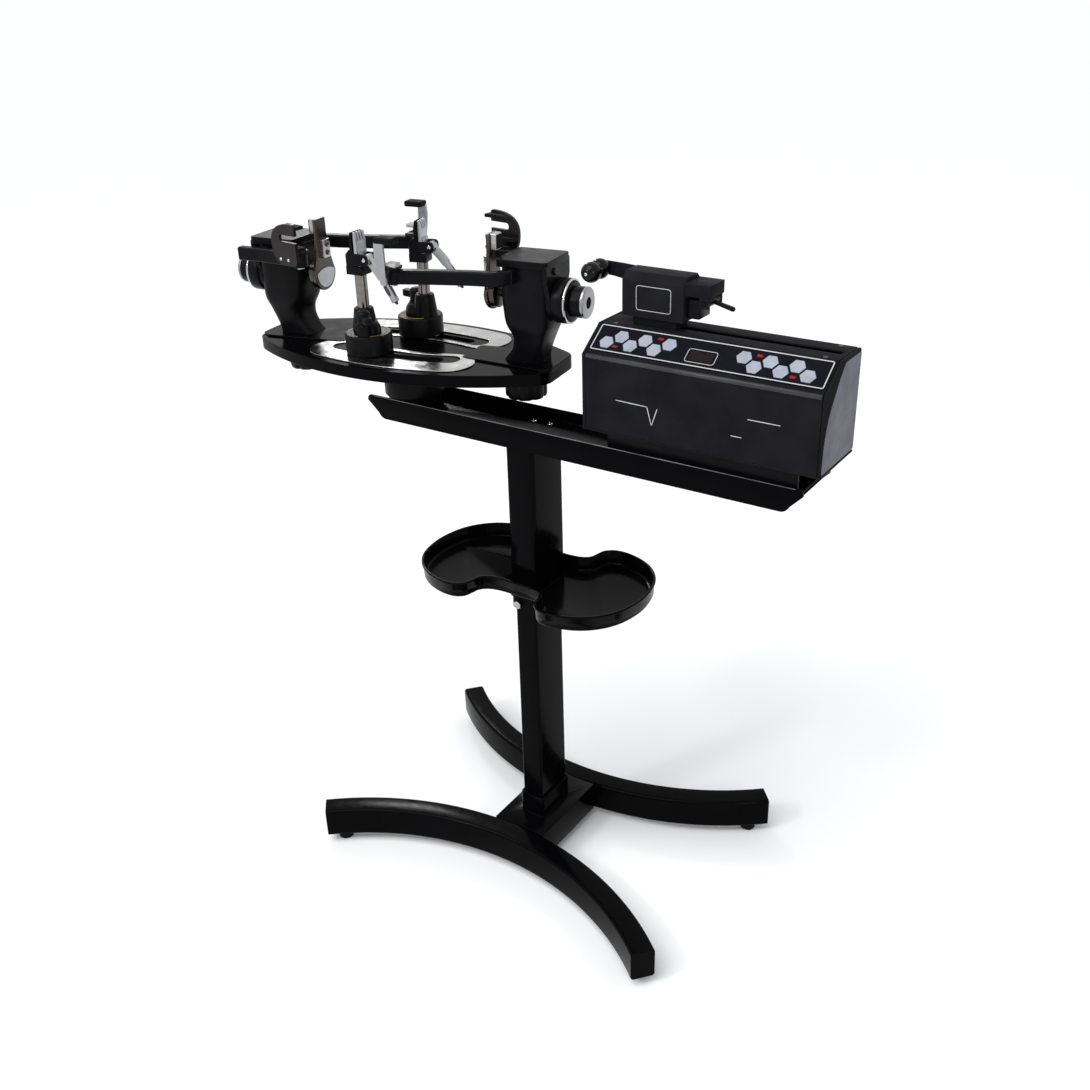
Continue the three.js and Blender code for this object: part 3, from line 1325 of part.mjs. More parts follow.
// The carriage that pulls the string: a block with a gripper behind and a guide roller in front
function carriageBody() {
  const { y } = guideSlot;
  const stemX = carriageLeft + carriage.stemInset;
  const front = y - carriage.halfDepth;
  const back = y + carriage.halfDepth;
  const section = polygon([
    [front, carriageBottom], [back, carriageBottom], [back, carriageTop - carriage.chamfer / 2],
    [back - carriage.chamfer / 2, carriageTop], [front + carriage.chamfer, carriageTop],
    [front, carriageTop - carriage.chamfer],
  ]);
  const body = slabAlongX(section, carriageLeft, carriageRight, carriage.edgeRound);
  const footTop = carriageBottom + carriage.edgeRound;
  const foot = block(
    [carriageLeft + carriage.footInset, y - carriage.footHalfDepth, boxTop + seatGap],
    [carriageRight - carriage.footInset, y + carriage.footHalfDepth, footTop],
  );
  const stem = block(
    [stemX - carriage.stemHalfLength, y - guideSlot.halfWidth + seatGap, screwZ],
    [stemX + carriage.stemHalfLength, y + guideSlot.halfWidth - seatGap, footTop],
  );
  const nut = block(
    [stemX - carriage.stemHalfLength, y - carriage.nutHalf, screwZ - carriage.nutHalf],
    [stemX + carriage.stemHalfLength, y + carriage.nutHalf, screwZ + carriage.nutHalf],
  );
  const screwHole = boreTool(screw.radius, [stemX - carriage.stemHalfLength - overrun, y, screwZ],
    [stemX + carriage.stemHalfLength + overrun, y, screwZ]);
  return cut(join(body, foot, stem, nut, carriageNeck(), carriageJaw()), screwHole);
}

// A flat arm along the back of the carriage, with the roller's eye at its end
function carriageNeck() {
  const back = guideSlot.y + carriage.halfDepth;
  const front = back - neck.thickness;
  const top = carriageTop - neck.topInset;
  const low = carriageTop - neck.rootHeight;
  const rootX = carriageLeft + neck.rootInset;
  const shape = new THREE.Shape();
  shape.moveTo(rootX, top);
  shape.lineTo(carriageLeft, top);
  shape.quadraticCurveTo((carriageLeft + rollerX) / 2, rollerZ + neck.eyeRadius, rollerX, rollerZ + neck.eyeRadius);
  shape.absarc(rollerX, rollerZ, neck.eyeRadius, Math.PI / 2, 3 * Math.PI / 2, false);
  shape.quadraticCurveTo((carriageLeft + rollerX) / 2, rollerZ - neck.eyeRadius, carriageLeft, low);
  shape.lineTo(rootX, low);
  const eye = boreTool(roller.pinRadius, [rollerX, front - overrun, rollerZ],
    [rollerX, back + overrun, rollerZ]);
  return cut(slabAlongY(shape, front, back - carriage.edgeRound), eye);
}

function carriageJaw() {
  const { y } = guideSlot;
  const ears = [-1, 1].map((side) => {
    const outer = y + side * upperJaw.halfDepth;
    const inner = outer - side * jawLever.earThickness;
    return block(
      [leverX - jawLever.hubRadius, Math.min(inner, outer), leverZ - jawLever.hubRadius],
      [leverX + jawLever.hubRadius, Math.max(inner, outer), upperJawBottom + carriage.edgeRound],
    );
  });
  const upper = block([upperJawLeft, y - upperJaw.halfDepth, upperJawBottom],
    [upperJawRight, y + upperJaw.halfDepth, upperJawTop]);
  const pinHole = boreTool(jawLever.pinRadius, [leverX, y - upperJaw.halfDepth - overrun, leverZ],
    [leverX, y + upperJaw.halfDepth + overrun, leverZ], smallSteps);
  return cut(join(upper, ...ears), pinHole);
}

// Two balls on one pin, turned about Y; the far one is cut flat in front of the neck
function rollerBody() {
  const waist = Math.acos(roller.ballOffset / roller.ballRadius);
  const flat = roller.backReach - seatGap;
  const cutAngle = Math.acos((flat - roller.ballOffset) / roller.ballRadius);
  const profile = [];
  for (let i = 0; i <= smallSteps; i += 1) {
    const angle = Math.PI - (Math.PI - waist) * i / smallSteps;
    profile.push([roller.ballRadius * Math.sin(angle), -roller.ballOffset + roller.ballRadius * Math.cos(angle)]);
  }
  for (let i = 1; i <= smallSteps; i += 1) {
    const angle = Math.PI - waist - (Math.PI - waist - cutAngle) * i / smallSteps;
    profile.push([roller.ballRadius * Math.sin(angle), roller.ballOffset + roller.ballRadius * Math.cos(angle)]);
  }
  profile[0][0] = 0;
  const pinEnd = roller.backReach + neck.thickness;
  profile.push([roller.pinRadius, flat], [roller.pinRadius, pinEnd], [0, pinEnd]);
  const y = guideSlot.y + carriage.halfDepth - neck.thickness - roller.backReach;
  return turned(profile, midSteps).rotateX(-Math.PI / 2).translate(rollerX, y, rollerZ);
}

function lowerJawBody() {
  const { y } = guideSlot;
  const x = carriageRight + seatGap + lowerJaw.width / 2;
  const z = upperJawBottom - lowerJaw.mouth - lowerJaw.height / 2;
  const shape = roundedRectangle(lowerJaw.width / 2, lowerJaw.height / 2, carriage.edgeRound, x, z);
  return slabAlongY(shape, y - lowerJaw.halfDepth, y + lowerJaw.halfDepth, 0, cornerSteps);
}

function jawLeverBody() {
  const { y } = guideSlot;
  const inside = upperJaw.halfDepth - jawLever.earThickness - seatGap;
  const hub = [leverX, y, leverZ];
  const tip = [leverX + jawLever.reach, y, leverZ - jawLever.drop];
  return join(
    rod(jawLever.hubRadius, [leverX, y - inside, leverZ], [leverX, y + inside, leverZ]),
    rod(jawLever.pinRadius, [leverX, y - upperJaw.halfDepth, leverZ],
      [leverX, y + upperJaw.halfDepth, leverZ], smallSteps),
    rod(jawLever.rodRadius, hub, tip, smallSteps, jawLever.tipRadius),
    new THREE.SphereGeometry(jawLever.tipRadius, smallSteps, smallSteps).translate(...tip),
  );
}

function addTensionUnit(parent) {
  addPart(parent, 'tension_plinth', plinthBody(), looks.mattBlack);
  addPart(parent, 'tension_housing', housingBody(), looks.mattBlack);
  addPart(parent, 'tension_left_cover', leftCheekBody(), looks.mattBlack);
  addPart(parent, 'tension_right_cover', cheekBody(box.right - box.cheek), looks.sideGrey);
  addPart(parent, 'control_panel', panelBody(), looks.panelBlue);
  addPart(parent, 'tension_display', displayBody(), looks.redGlass);
  addPart(parent, 'power_inlet', inletBody(), looks.mattBlack);
  addPart(parent, 'power_switch', rockerBody(), looks.mattBlack);
  addPart(parent, 'drive_motor', motorBody(), looks.darkSteel);
  addPart(parent, 'drive_screw', screwBody(), looks.steel);
  addPart(parent, 'tension_carriage', carriageBody(), looks.satinBlack);
  addPart(parent, 'string_roller', rollerBody(), looks.satinBlack);
  addPart(parent, 'gripper_jaw', lowerJawBody(), looks.satinBlack);
  addPart(parent, 'gripper_lever', jawLeverBody(), looks.satinBlack);
}

function addStand(parent) {
  ['front', 'rear'].forEach((name, i) => {
    const half = new THREE.Group();
    half.rotation.z = i * Math.PI;
    parent.add(half);
    addPart(half, `${name}_leg`, legTube(), looks.glossBlack);
    glidePlaces().forEach((place, k) => {
      const sideName = (k + i) % 2 === 0 ? 'left' : 'right';
      addPart(half, `${name}_${sideName}_foot_pad`, glideFoot(place), looks.rubber);
    });
  });
  addPart(parent, 'cross_bar', crossBarWithSocket(), looks.glossBlack);
  const tube = rectangularTube(column.width / 2, column.depth / 2, column.wall, column.corner, columnFoot, column.top);
  addPart(parent, 'lower_column', tube, looks.glossBlack);
}

function addBeam(parent) {
  addPart(parent, 'column_sleeve', sleeveTube(), looks.glossBlack);
  addPart(parent, 'height_bolt', heightBoltBody(), looks.steel);
  addPart(parent, 'tool_tray', toolTray(), looks.satinBlack);
  addPart(parent, 'beam', beamBody(), looks.glossBlack);
}

function addTurntable(parent) {
  const group = new THREE.Group();
  group.position.set(turntable.x, 0, 0);
  group.rotation.z = turntable.turn;
  parent.add(group);
  addPart(group, 'turntable_pedestal', pedestalBody(), looks.satinBlack);
  addPart(group, 'turntable_plate', turntablePlate(), looks.glossBlack);
  addPart(group, 'near_track', trackStrip(-1), looks.steel);
  addPart(group, 'far_track', trackStrip(1), looks.steel);
  addTower(group, 'right', 0);
  addTower(group, 'left', Math.PI);
  addClamp(group, 'near');
  addClamp(group, 'far');
}

const machine = new THREE.Group();
addStand(machine);
addBeam(machine);
addTurntable(machine);
addTensionUnit(machine);

// The frame's origin is the middle of the bounding box's floor
const bounds = new THREE.Box3().setFromObject(machine, true);
machine.position.set(-(bounds.min.x + bounds.max.x) / 2, -(bounds.min.y + bounds.max.y) / 2, -bounds.min.z);

export default machine;
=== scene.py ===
"""Racket stringing machine: the looks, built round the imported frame.

The scene is in metres with +Z up, and forms are drawn in millimetres."""
import json
from math import acos, asin, atan2, copysign, cos, degrees, hypot, pi, radians, sin, sqrt

import bmesh
import bpy
from mathutils import Matrix, Vector


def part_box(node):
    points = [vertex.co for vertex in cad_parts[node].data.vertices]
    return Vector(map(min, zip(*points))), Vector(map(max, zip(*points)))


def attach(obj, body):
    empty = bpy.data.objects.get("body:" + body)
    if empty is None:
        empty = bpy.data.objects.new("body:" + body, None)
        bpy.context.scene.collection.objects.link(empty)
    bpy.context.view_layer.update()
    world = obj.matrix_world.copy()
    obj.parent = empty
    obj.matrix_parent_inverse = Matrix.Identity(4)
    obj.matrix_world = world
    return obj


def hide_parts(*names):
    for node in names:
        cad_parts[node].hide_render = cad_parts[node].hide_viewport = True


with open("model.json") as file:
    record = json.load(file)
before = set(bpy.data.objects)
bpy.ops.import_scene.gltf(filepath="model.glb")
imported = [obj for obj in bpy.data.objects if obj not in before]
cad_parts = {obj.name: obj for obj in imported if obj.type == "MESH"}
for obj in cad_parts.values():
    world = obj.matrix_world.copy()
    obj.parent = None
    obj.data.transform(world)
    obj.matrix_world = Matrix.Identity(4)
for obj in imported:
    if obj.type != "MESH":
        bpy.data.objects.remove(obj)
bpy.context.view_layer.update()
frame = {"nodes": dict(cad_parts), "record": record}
nodes = frame["nodes"]

MM = 0.001
ROUND = 72  # steps of a turned form
CORNER = 6  # steps of a rounded corner
GAP = 0.3  # clearance between neighbouring solids
CUT = 9.0  # overrun of a cutting form

slot_of = {s["node"]: s["material_slot"] for s in frame["record"]["subparts"]}
body_of = {n: body for body, names in frame["record"]["behaviour"]["bodies"].items() for n in names}


# Places in the frame, in millimetres
def low_of(node):
    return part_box(node)[0] / MM


def high_of(node):
    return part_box(node)[1] / MM


def middle(node):
    return (low_of(node) + high_of(node)) / 2


def at(x=0.0, y=0.0, z=0.0):
    """A local frame's place, given in millimetres."""
    return Matrix.Translation(Vector((x, y, z)) * MM)


def turned(angle, axis="Z"):
    return Matrix.Rotation(angle, 4, axis)


def new_object(name, data):
    made = bpy.data.objects.new(name, data)
    bpy.context.scene.collection.objects.link(made)
    return made


def set_inputs(node, values):
    for label, value in values.items():
        node.inputs[label].default_value = value


column = middle("lower_column")
AXIS = Vector((column.x, 0, 0))

# Camera, in metres and degrees, from the column's foot
CAMERA = {"yaw": 34.59, "pitch": -26.95, "roll": -1.73, "place": (0.95072, -1.35733, 1.40259), "sensor": 36.0,
          "lens": 39.817}


def make_camera():
    """The photograph's camera: a full-frame lens of about 40 mm, above and in front of the right end."""
    data = bpy.data.cameras.new("camera")
    camera = new_object("camera", data)
    yaw, pitch, roll = (radians(CAMERA[name]) for name in ("yaw", "pitch", "roll"))
    forward = Vector((-sin(yaw) * cos(pitch), cos(yaw) * cos(pitch), sin(pitch)))
    level = Vector((cos(yaw), sin(yaw), 0))
    upright = level.cross(forward)
    right = cos(roll) * level + sin(roll) * upright
    up = -sin(roll) * level + cos(roll) * upright
    turn = Matrix((right, up, -forward)).transposed()
    camera.matrix_world = Matrix.Translation(AXIS * MM + Vector(CAMERA["place"])) @ turn.to_4x4()
    data.sensor_width = CAMERA["sensor"]
    data.lens = CAMERA["lens"]
    bpy.context.scene.camera = camera


make_camera()

# Materials
NOISE_SPAN = (0.3, 0.7)  # the part of a noise's range that a ramp takes
LEAST_ROUGHNESS = 0.02
BUMP_DEPTH = 0.0004


def material(name, slot_name, base, roughness, metallic=0.0, specular=0.5, tint=0.2, tint_scale=25.0,
             rough_span=0.08, grain=0.0, grain_scale=1500.0, streaks=None):
    """A principled material whose colour, roughness and bump vary with object coordinates."""
    made = bpy.data.materials.new(name)
    made["slot"] = slot_name
    made.use_nodes = True
    tree = made.node_tree
    bsdf = tree.nodes["Principled BSDF"]
    set_inputs(bsdf, {"Metallic": metallic, "Specular IOR Level": specular})
    place = tree.nodes.new("ShaderNodeTexCoord").outputs["Object"]
    if streaks:
        stretch = tree.nodes.new("ShaderNodeMapping")
        set_inputs(stretch, {"Scale": streaks})
        tree.links.new(place, stretch.inputs["Vector"])
        place = stretch.outputs["Vector"]

    def noise(scale, detail=3.0):
        node = tree.nodes.new("ShaderNodeTexNoise")
        set_inputs(node, {"Scale": scale, "Detail": detail})
        tree.links.new(place, node.inputs["Vector"])
        return node.outputs["Fac"]

    def ramp(value, low, high):
        node = tree.nodes.new("ShaderNodeMapRange")
        set_inputs(node, dict(zip(("From Min", "From Max", "To Min", "To Max"), (*NOISE_SPAN, low, high))))
        tree.links.new(value, node.inputs["Value"])
        return node.outputs["Result"]

    mix = tree.nodes.new("ShaderNodeMix")
    mix.data_type = "RGBA"
    mix.inputs[6].default_value = [c * (1 - tint) for c in base] + [1]
    mix.inputs[7].default_value = [min(1, c * (1 + tint)) for c in base] + [1]
    tree.links.new(ramp(noise(tint_scale), 0, 1), mix.inputs[0])
    tree.links.new(mix.outputs[2], bsdf.inputs["Base Color"])
    smoothest = max(LEAST_ROUGHNESS, roughness - rough_span)
    smudge = ramp(noise(tint_scale * 2.3, 5.0), smoothest, roughness + rough_span)
    tree.links.new(smudge, bsdf.inputs["Roughness"])
    if grain:
        bump = tree.nodes.new("ShaderNodeBump")
        set_inputs(bump, {"Strength": grain, "Distance": BUMP_DEPTH})
        tree.links.new(noise(grain_scale, 2.0), bump.inputs["Height"])
        tree.links.new(bump.outputs["Normal"], bsdf.inputs["Normal"])
    return made


# Each look: its slot, base colour, roughness, and what departs from the defaults
LOOK_TABLE = {
    "gloss_black": ("gloss_black", (0.0014, 0.0014, 0.0018), 0.15,
                    dict(specular=0.03, rough_span=0.05, grain=0.06, grain_scale=420)),
    "satin_black": ("satin_black", (0.0035, 0.0035, 0.0042), 0.32,
                    dict(specular=0.07, rough_span=0.07, grain=0.12, grain_scale=1400)),
    "cast_black": ("satin_black", (0.0122, 0.0122, 0.0148), 0.45,
                   dict(specular=0.012, rough_span=0.07, grain=0.2, grain_scale=1500)),
    "matt_black": ("matt_black", (0.0112, 0.0112, 0.0132), 0.55,
                   dict(specular=0.012, rough_span=0.06, grain=0.25, grain_scale=2200)),
    "side_grey": ("side_grey", (0.125, 0.122, 0.15), 0.52, dict(specular=0.15, grain=0.25, grain_scale=2200)),
    "edge_grey": ("matt_black", (0.035, 0.034, 0.04), 0.3, dict(specular=0.2)),
    "black_plastic": ("black_plastic", (0.004, 0.004, 0.0046), 0.36,
                      dict(specular=0.08, grain=0.15, grain_scale=1800)),
    "gloss_plastic": ("black_plastic", (0.003, 0.003, 0.0035), 0.12, dict(specular=0.15, rough_span=0.04)),
    # A lighter grey that paints the highlight along the beam's upper front edge
    "painted_highlight": ("gloss_black", (0.13, 0.13, 0.14), 0.4, dict(specular=0.2, tint=0.6, tint_scale=14)),
    "rubber": ("rubber", (0.004, 0.004, 0.004), 0.7, dict(specular=0.08, grain=0.3, grain_scale=1600)),
    "pale_rubber": ("rubber", (0.45, 0.44, 0.42), 0.7, dict(specular=0.1, grain=0.2)),
    "polished_steel": ("polished_steel", (0.4, 0.395, 0.39), 0.2,
                       dict(metallic=1.0, tint=0.15, rough_span=0.08, grain=0.05, streaks=(1, 1, 9))),
    "post_steel": ("polished_steel", (0.2, 0.185, 0.17), 0.2,
                   dict(metallic=1.0, tint=0.15, streaks=(1, 1, 9))),
    "chrome": ("polished_steel", (0.5, 0.5, 0.5), 0.1, dict(metallic=1.0, tint=0.06, rough_span=0.03)),
    "cap_steel": ("polished_steel", (0.3, 0.3, 0.31), 0.28, dict(metallic=1.0, tint=0.1)),
    "claw_steel": ("claw_steel", (0.028, 0.025, 0.024), 0.33, dict(metallic=0.8, specular=0.1, grain=0.05)),
    "dark_steel": ("polished_steel", (0.07, 0.062, 0.058), 0.25, dict(metallic=1.0)),
    "cast_silver": ("cast_silver", (0.36, 0.36, 0.38), 0.3,
                    dict(metallic=1.0, tint=0.14, grain=0.2, grain_scale=900)),
    "motor_steel": ("motor_steel", (0.05, 0.05, 0.055), 0.4, dict()),
    "panel_film": ("panel_film", (0.003, 0.0035, 0.0065), 0.25, dict(specular=0.05, tint=0.3)),
    "pale_key": ("panel_film", (0.33, 0.355, 0.42), 0.4, dict(specular=0.15, tint=0.1, tint_scale=60)),
    "print_white": ("panel_film", (0.55, 0.55, 0.57), 0.5, dict(specular=0.15, tint=0.08)),
    "print_red": ("panel_film", (0.3, 0.012, 0.016), 0.5, dict(specular=0.1, tint=0.1)),
    "print_yellow": ("satin_black", (0.3, 0.26, 0.02), 0.5, dict(specular=0.1, tint=0.15)),
    "display_glass": ("display_glass", (0.012, 0.0075, 0.006), 0.1, dict(specular=0.08)),
}
LOOKS = {name: material(name, slot_name, base, roughness, **extra)
         for name, (slot_name, base, roughness, extra) in LOOK_TABLE.items()}


# Forms: pairs of points and faces, in millimetres
def grid(rings, closed=False):
    """Quads between rings of equal count, with a cap at both ends unless the rings come back to the first."""
    count = len(rings[0])
    points = [Vector(p) for ring in rings for p in ring]
    faces = []
    for r in range(len(rings) if closed else len(rings) - 1):
        here = r * count
        there = (r + 1) % len(rings) * count
        for i in range(count):
            k = (i + 1) % count
            faces.append((here + i, here + k, there + k, there + i))
    if not closed:
        faces.append(tuple(reversed(range(count))))
        faces.append(tuple(range(len(points) - count, len(points))))
    return points, faces


def moved(form, place):
    return [place @ p for p in form[0]], form[1]


def shifted(form, x=0.0, y=0.0, z=0.0):
    return moved(form, Matrix.Translation((x, y, z)))


def merged(*forms):
    points, faces = [], []
    for own_points, own_faces in forms:
        start = len(points)
        points += own_points
        faces += [tuple(i + start for i in face) for face in own_faces]
    return points, faces


def along_x(form):
    """A form drawn along Z, laid along X."""
    return [Vector((p.z, p.x, p.y)) for p in form[0]], form[1]


def along_y(form):
    """A form drawn along Z, laid along Y: its outline stands in the XZ plane."""
    return [Vector((p.x, p.z, p.y)) for p in form[0]], form[1]


def circle(radius, height, steps=ROUND):
    return [(radius * cos(2 * pi * i / steps), radius * sin(2 * pi * i / steps), height)
            for i in range(steps)]


def lathe(profile, steps=ROUND, closed=False):
    return grid([circle(radius, height, steps) for radius, height in profile], closed)


def rod(radius, start, end, steps=32, edge=0.0):
    """A cylinder between two points, with rounded rims."""
    start, end = Vector(start), Vector(end)
    length = (end - start).length
    profile = [(radius, 0), (radius, length)]
    if edge:
        profile = [(radius - edge, 0), (radius, edge), (radius, length - edge), (radius - edge, length)]
    turn = (end - start).to_track_quat("Z", "Y").to_matrix().to_4x4()
    return moved(lathe(profile, steps), Matrix.Translation(start) @ turn)


def rounded(half_x, half_y, radius, x=0.0, y=0.0):
    """The outline of a rounded rectangle."""
    points = []
    for quarter, (sx, sy) in enumerate(((1, 1), (-1, 1), (-1, -1), (1, -1))):
        for i in range(CORNER + 1):
            angle = (quarter + i / CORNER) * pi / 2
            points.append((x + sx * (half_x - radius) + radius * cos(angle),
                           y + sy * (half_y - radius) + radius * sin(angle)))
    return points


def slab(outline, bottom, top):
    return grid([[(x, y, z) for x, y in outline] for z in (bottom, top)])


def tube(outer, inner, bottom, top):
    rings = [[(x, y, z) for x, y in outline]
             for outline, z in ((outer, bottom), (outer, top), (inner, top), (inner, bottom))]
    return grid(rings, closed=True)


def box_form(low, high):
    (x0, y0, z0), (x1, y1, z1) = low, high
    return slab([(x0, y0), (x1, y0), (x1, y1), (x0, y1)], z0, z1)


def arc(cx, cy, radius, start, end, steps):
    """Points on an arc, with its angles in degrees."""
    angles = [radians(start + (end - start) * i / steps) for i in range(steps + 1)]
    return [(cx + radius * cos(angle), cy + radius * sin(angle)) for angle in angles]


def bend(a, b, c, steps=8):
    """Points on a quadratic curve from a towards b to c, without its end."""
    return [tuple((1 - t) ** 2 * p + 2 * t * (1 - t) * q + t * t * r for p, q, r in zip(a, b, c))
            for t in (i / steps for i in range(steps))]


def smooth(points, per, closed=False):
    """A smooth curve through points in any number of dimensions."""
    count = len(points)
    result = []
    for i in range(count if closed else count - 1):
        steps = (i - 1, i, i + 1, i + 2)
        around = [points[k % count] if closed else points[min(max(k, 0), count - 1)] for k in steps]
        for s in range(per):
            t = s / per
            result.append(tuple(0.5 * (2 * b + (c - a) * t + (2 * a - 5 * b + 4 * c - d) * t * t
                                       + (3 * b - a - 3 * c + d) * t ** 3) for a, b, c, d in zip(*around)))
    if not closed:
        result.append(tuple(points[-1]))
    return result


def ribbon(path, outline):
    """An outline in (aside, up) swept along a level path of (x, y) points."""
    rings = []
    for i, (x, y) in enumerate(path):
        before, after = path[max(i - 1, 0)], path[min(i + 1, len(path) - 1)]
        along = Vector((after[0] - before[0], after[1] - before[1])).normalized()
        rings.append([(x - along.y * aside, y + along.x * aside, up) for aside, up in outline])
    return grid(rings)


# Screw heads as (radius, height), from the surface that they sit on
HEADS = {"beam": ((4.6, 0.0), (4.6, 2.4), (3.4, 3.4), (1.8, 3.4), (1.8, 1.6)),
         "housing": ((3.4, -0.5), (3.4, 0.4), (2.6, 0.9), (1.4, 0.9), (1.4, 0.3)),
         "cheek": ((5.0, -2.0), (5.0, 2.0), (4.0, 3.4), (2.2, 3.4), (2.2, 1.0))}


def screw_head(kind):
    """A screw's head with a bevelled rim and a hollow for the key."""
    return lathe(HEADS[kind], 32)


def mesh_from(name, form, place=Matrix()):
    mesh = bpy.data.meshes.new(name)
    mesh.from_pydata([place @ (p * MM) for p in form[0]], [], form[1])
    made = bmesh.new()
    made.from_mesh(mesh)
    bmesh.ops.recalc_face_normals(made, faces=made.faces)
    made.to_mesh(mesh)
    made.free()
    return mesh


def carve(form, *tools):
    """A form less its tools."""
    holders = []
    for i, own in enumerate((form, *tools)):
        holder = new_object("carving", mesh_from("carving", own))
        holders.append(holder)
        if i:
            cutter = holders[0].modifiers.new("cut", "BOOLEAN")
            cutter.operation = "DIFFERENCE"
            cutter.solver = "EXACT"
            cutter.object = holder
    bpy.context.view_layer.update()
    graph = bpy.context.evaluated_depsgraph_get()
    result = bpy.data.meshes.new_from_object(holders[0].evaluated_get(graph))
    left = ([v.co / MM for v in result.vertices], [tuple(p.vertices) for p in result.polygons])
    for holder in holders:
        bpy.data.objects.remove(holder, do_unlink=True)
    return left


# Pieces
def add_piece(name, mesh, look, body):
    piece = new_object(name, mesh)
    mesh.materials.clear()
    mesh.materials.append(LOOKS[look])
    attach(piece, body)
    return piece


def soften(piece, width, angle=35.0):
    """Rounds the sharp edges of a piece and shades the rest smooth."""
    if width:
        bevel = piece.modifiers.new("edges", "BEVEL")
        bevel.width = width * MM
        bevel.segments = 2
        bevel.limit_method = "ANGLE"
        bevel.angle_limit = radians(angle)
        bevel.harden_normals = True
    for face in piece.data.polygons:
        face.use_smooth = True


def add(name, form, look, node, place, width=0.6, angle=35.0, stands=False):
    """A piece that rides with a node's body, and stands for that node if asked."""
    piece = add_piece(name, mesh_from(name, form, place), look, body_of[node])
    soften(piece, width, angle)
    if stands:
        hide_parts(node)
    return piece


def skin(node, form, look, place, width=0.6, angle=35.0):
    """The piece that stands for a node."""
    add(node + "_skin", form, look, node, place, width, angle, stands=True)


def dressed(node, width=0.6, look=None):
    """A copy of a CAD node with merged faces and softened edges, which stands for it."""
    made = bmesh.new()
    made.from_mesh(nodes[node].data)
    bmesh.ops.remove_doubles(made, verts=made.verts, dist=0.00001)
    bmesh.ops.dissolve_limit(made, angle_limit=radians(1.0), verts=made.verts, edges=made.edges)
    mesh = bpy.data.meshes.new(node + "_skin")
    made.to_mesh(mesh)
    made.free()
    piece = add_piece(node + "_skin", mesh, look or slot_of[node], body_of[node])
    soften(piece, width)
    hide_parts(node)
    return piece


# Local frames, whose matrices take metres
TABLE_TURN = radians(8)
BASE = at(column.x)
TABLE = BASE @ at(middle("turntable_pedestal").x - column.x) @ turned(TABLE_TURN)
TOWERS = {"right": TABLE, "left": TABLE @ turned(pi)}

# Stand
LEG = {"span": 315.0, "reach": 214.0, "crown": 97.0, "width": 38.0, "corner": 5.0}
LEG_STEPS = 64
FOOT = {"edge": 1.5, "lift": 2.0, "stud": 4.0}
TUBES = {"lower_column": {"wall": 2.5, "corner": 4.0, "inner_corner": 1.5, "proud": 0.0, "edge": 0.4},
         "column_sleeve": {"wall": 2.7, "corner": 6.7, "inner_corner": 4.0, "proud": 2.5, "edge": 0.5}}


def make_tube(node):
    own = TUBES[node]
    half = (high_of(node) - low_of(node)) / 2
    outer = rounded(half.x + own["proud"], half.y, own["corner"])
    inner = rounded(half.x - own["wall"], half.y - own["wall"], own["inner_corner"])
    form = tube(outer, inner, low_of(node).z, high_of(node).z)
    skin(node, form, "gloss_black", BASE, own["edge"])


def make_foot(node, leg_bottom):
    """A round glide, with its stud in the leg."""
    centre, wide = middle(node), (high_of(node).x - low_of(node).x) / 2
    rim = wide - FOOT["edge"]
    profile = [(rim, 0), (wide, FOOT["edge"]), (wide, leg_bottom - FOOT["lift"]), (rim, leg_bottom - GAP),
               (FOOT["stud"], leg_bottom - GAP), (FOOT["stud"], leg_bottom + FOOT["stud"])]
    form = shifted(lathe(profile, 48), centre.x, centre.y)
    skin(node, form, "rubber", Matrix(), 0)


def make_stand():
    rise = LEG["reach"] - LEG["crown"]
    radius = (LEG["span"] ** 2 + rise ** 2) / (2 * rise)
    centre = LEG["crown"] + radius
    half = asin(LEG["span"] / radius)
    bottom, top = low_of("front_leg").z, high_of("front_leg").z
    section = rounded(LEG["width"] / 2, (top - bottom) / 2, LEG["corner"], 0, (bottom + top) / 2)
    for node, side in (("front_leg", -1), ("rear_leg", 1)):
        rings = []
        for i in range(LEG_STEPS + 1):
            angle = half * (2 * i / LEG_STEPS - 1)
            rings.append([((radius + out) * sin(angle),
                           side * (centre - (radius + out) * cos(angle)), up) for out, up in section])
        skin(node, grid(rings), "gloss_black", BASE, 1.2)
    for node in sorted(nodes):
        if node.endswith("foot_pad"):
            make_foot(node, bottom)
    dressed("cross_bar", 1.0)
    make_tube("lower_column")


# Upper frame
# The painted highlight line's corners, from the ends of the beam's upper front edge
EDGE_START, EDGE_END = Vector((12.0, -0.05, -0.9)), Vector((-11.0, 1.1, 0.05))
BEAM_SCREW_X, BEAM_SCREW_Y = 14.0, 24.0
# The pedestal's side as (radius, height over the beam)
PEDESTAL = ((41.0, 2.0), (46.0, 2.0), (46.0, 31.0), (45.0, 33.5), (37.0, 41.0), (12.0, 41.0))


def make_pedestal(beam_top):
    node = "turntable_pedestal"
    profile = [(radius, beam_top + height) for radius, height in PEDESTAL]
    profile = [(PEDESTAL[0][0], low_of(node).z), *profile, (PEDESTAL[-1][0], high_of(node).z)]
    add("pedestal_skin", lathe(profile, 96), "satin_black", node, TABLE, 0.8, stands=True)


def make_upper_frame():
    make_tube("column_sleeve")
    dressed("height_bolt", 0.5)
    dressed("beam", 1.0)
    low, high = low_of("beam") - AXIS, high_of("beam") - AXIS
    # A thin lighter strip on the beam's upper front edge: a painted highlight
    edge = box_form(Vector((low.x, low.y, high.z)) + EDGE_START, Vector((high.x, low.y, high.z)) + EDGE_END)
    add("beam_edge_highlight", edge, "painted_highlight", "beam", BASE, 0.2)
    make_tray()
    make_pedestal(high.z)
    head = shifted(screw_head("beam"), z=low_of("turntable_pedestal").z - GAP)
    for x in (-BEAM_SCREW_X, BEAM_SCREW_X):
        for y in (-BEAM_SCREW_Y, BEAM_SCREW_Y):
            name = "beam_screw_%d_%d" % (x + BEAM_SCREW_X, y + BEAM_SCREW_Y)
            add(name, head, "chrome", "beam", BASE @ at(x, y), 0)


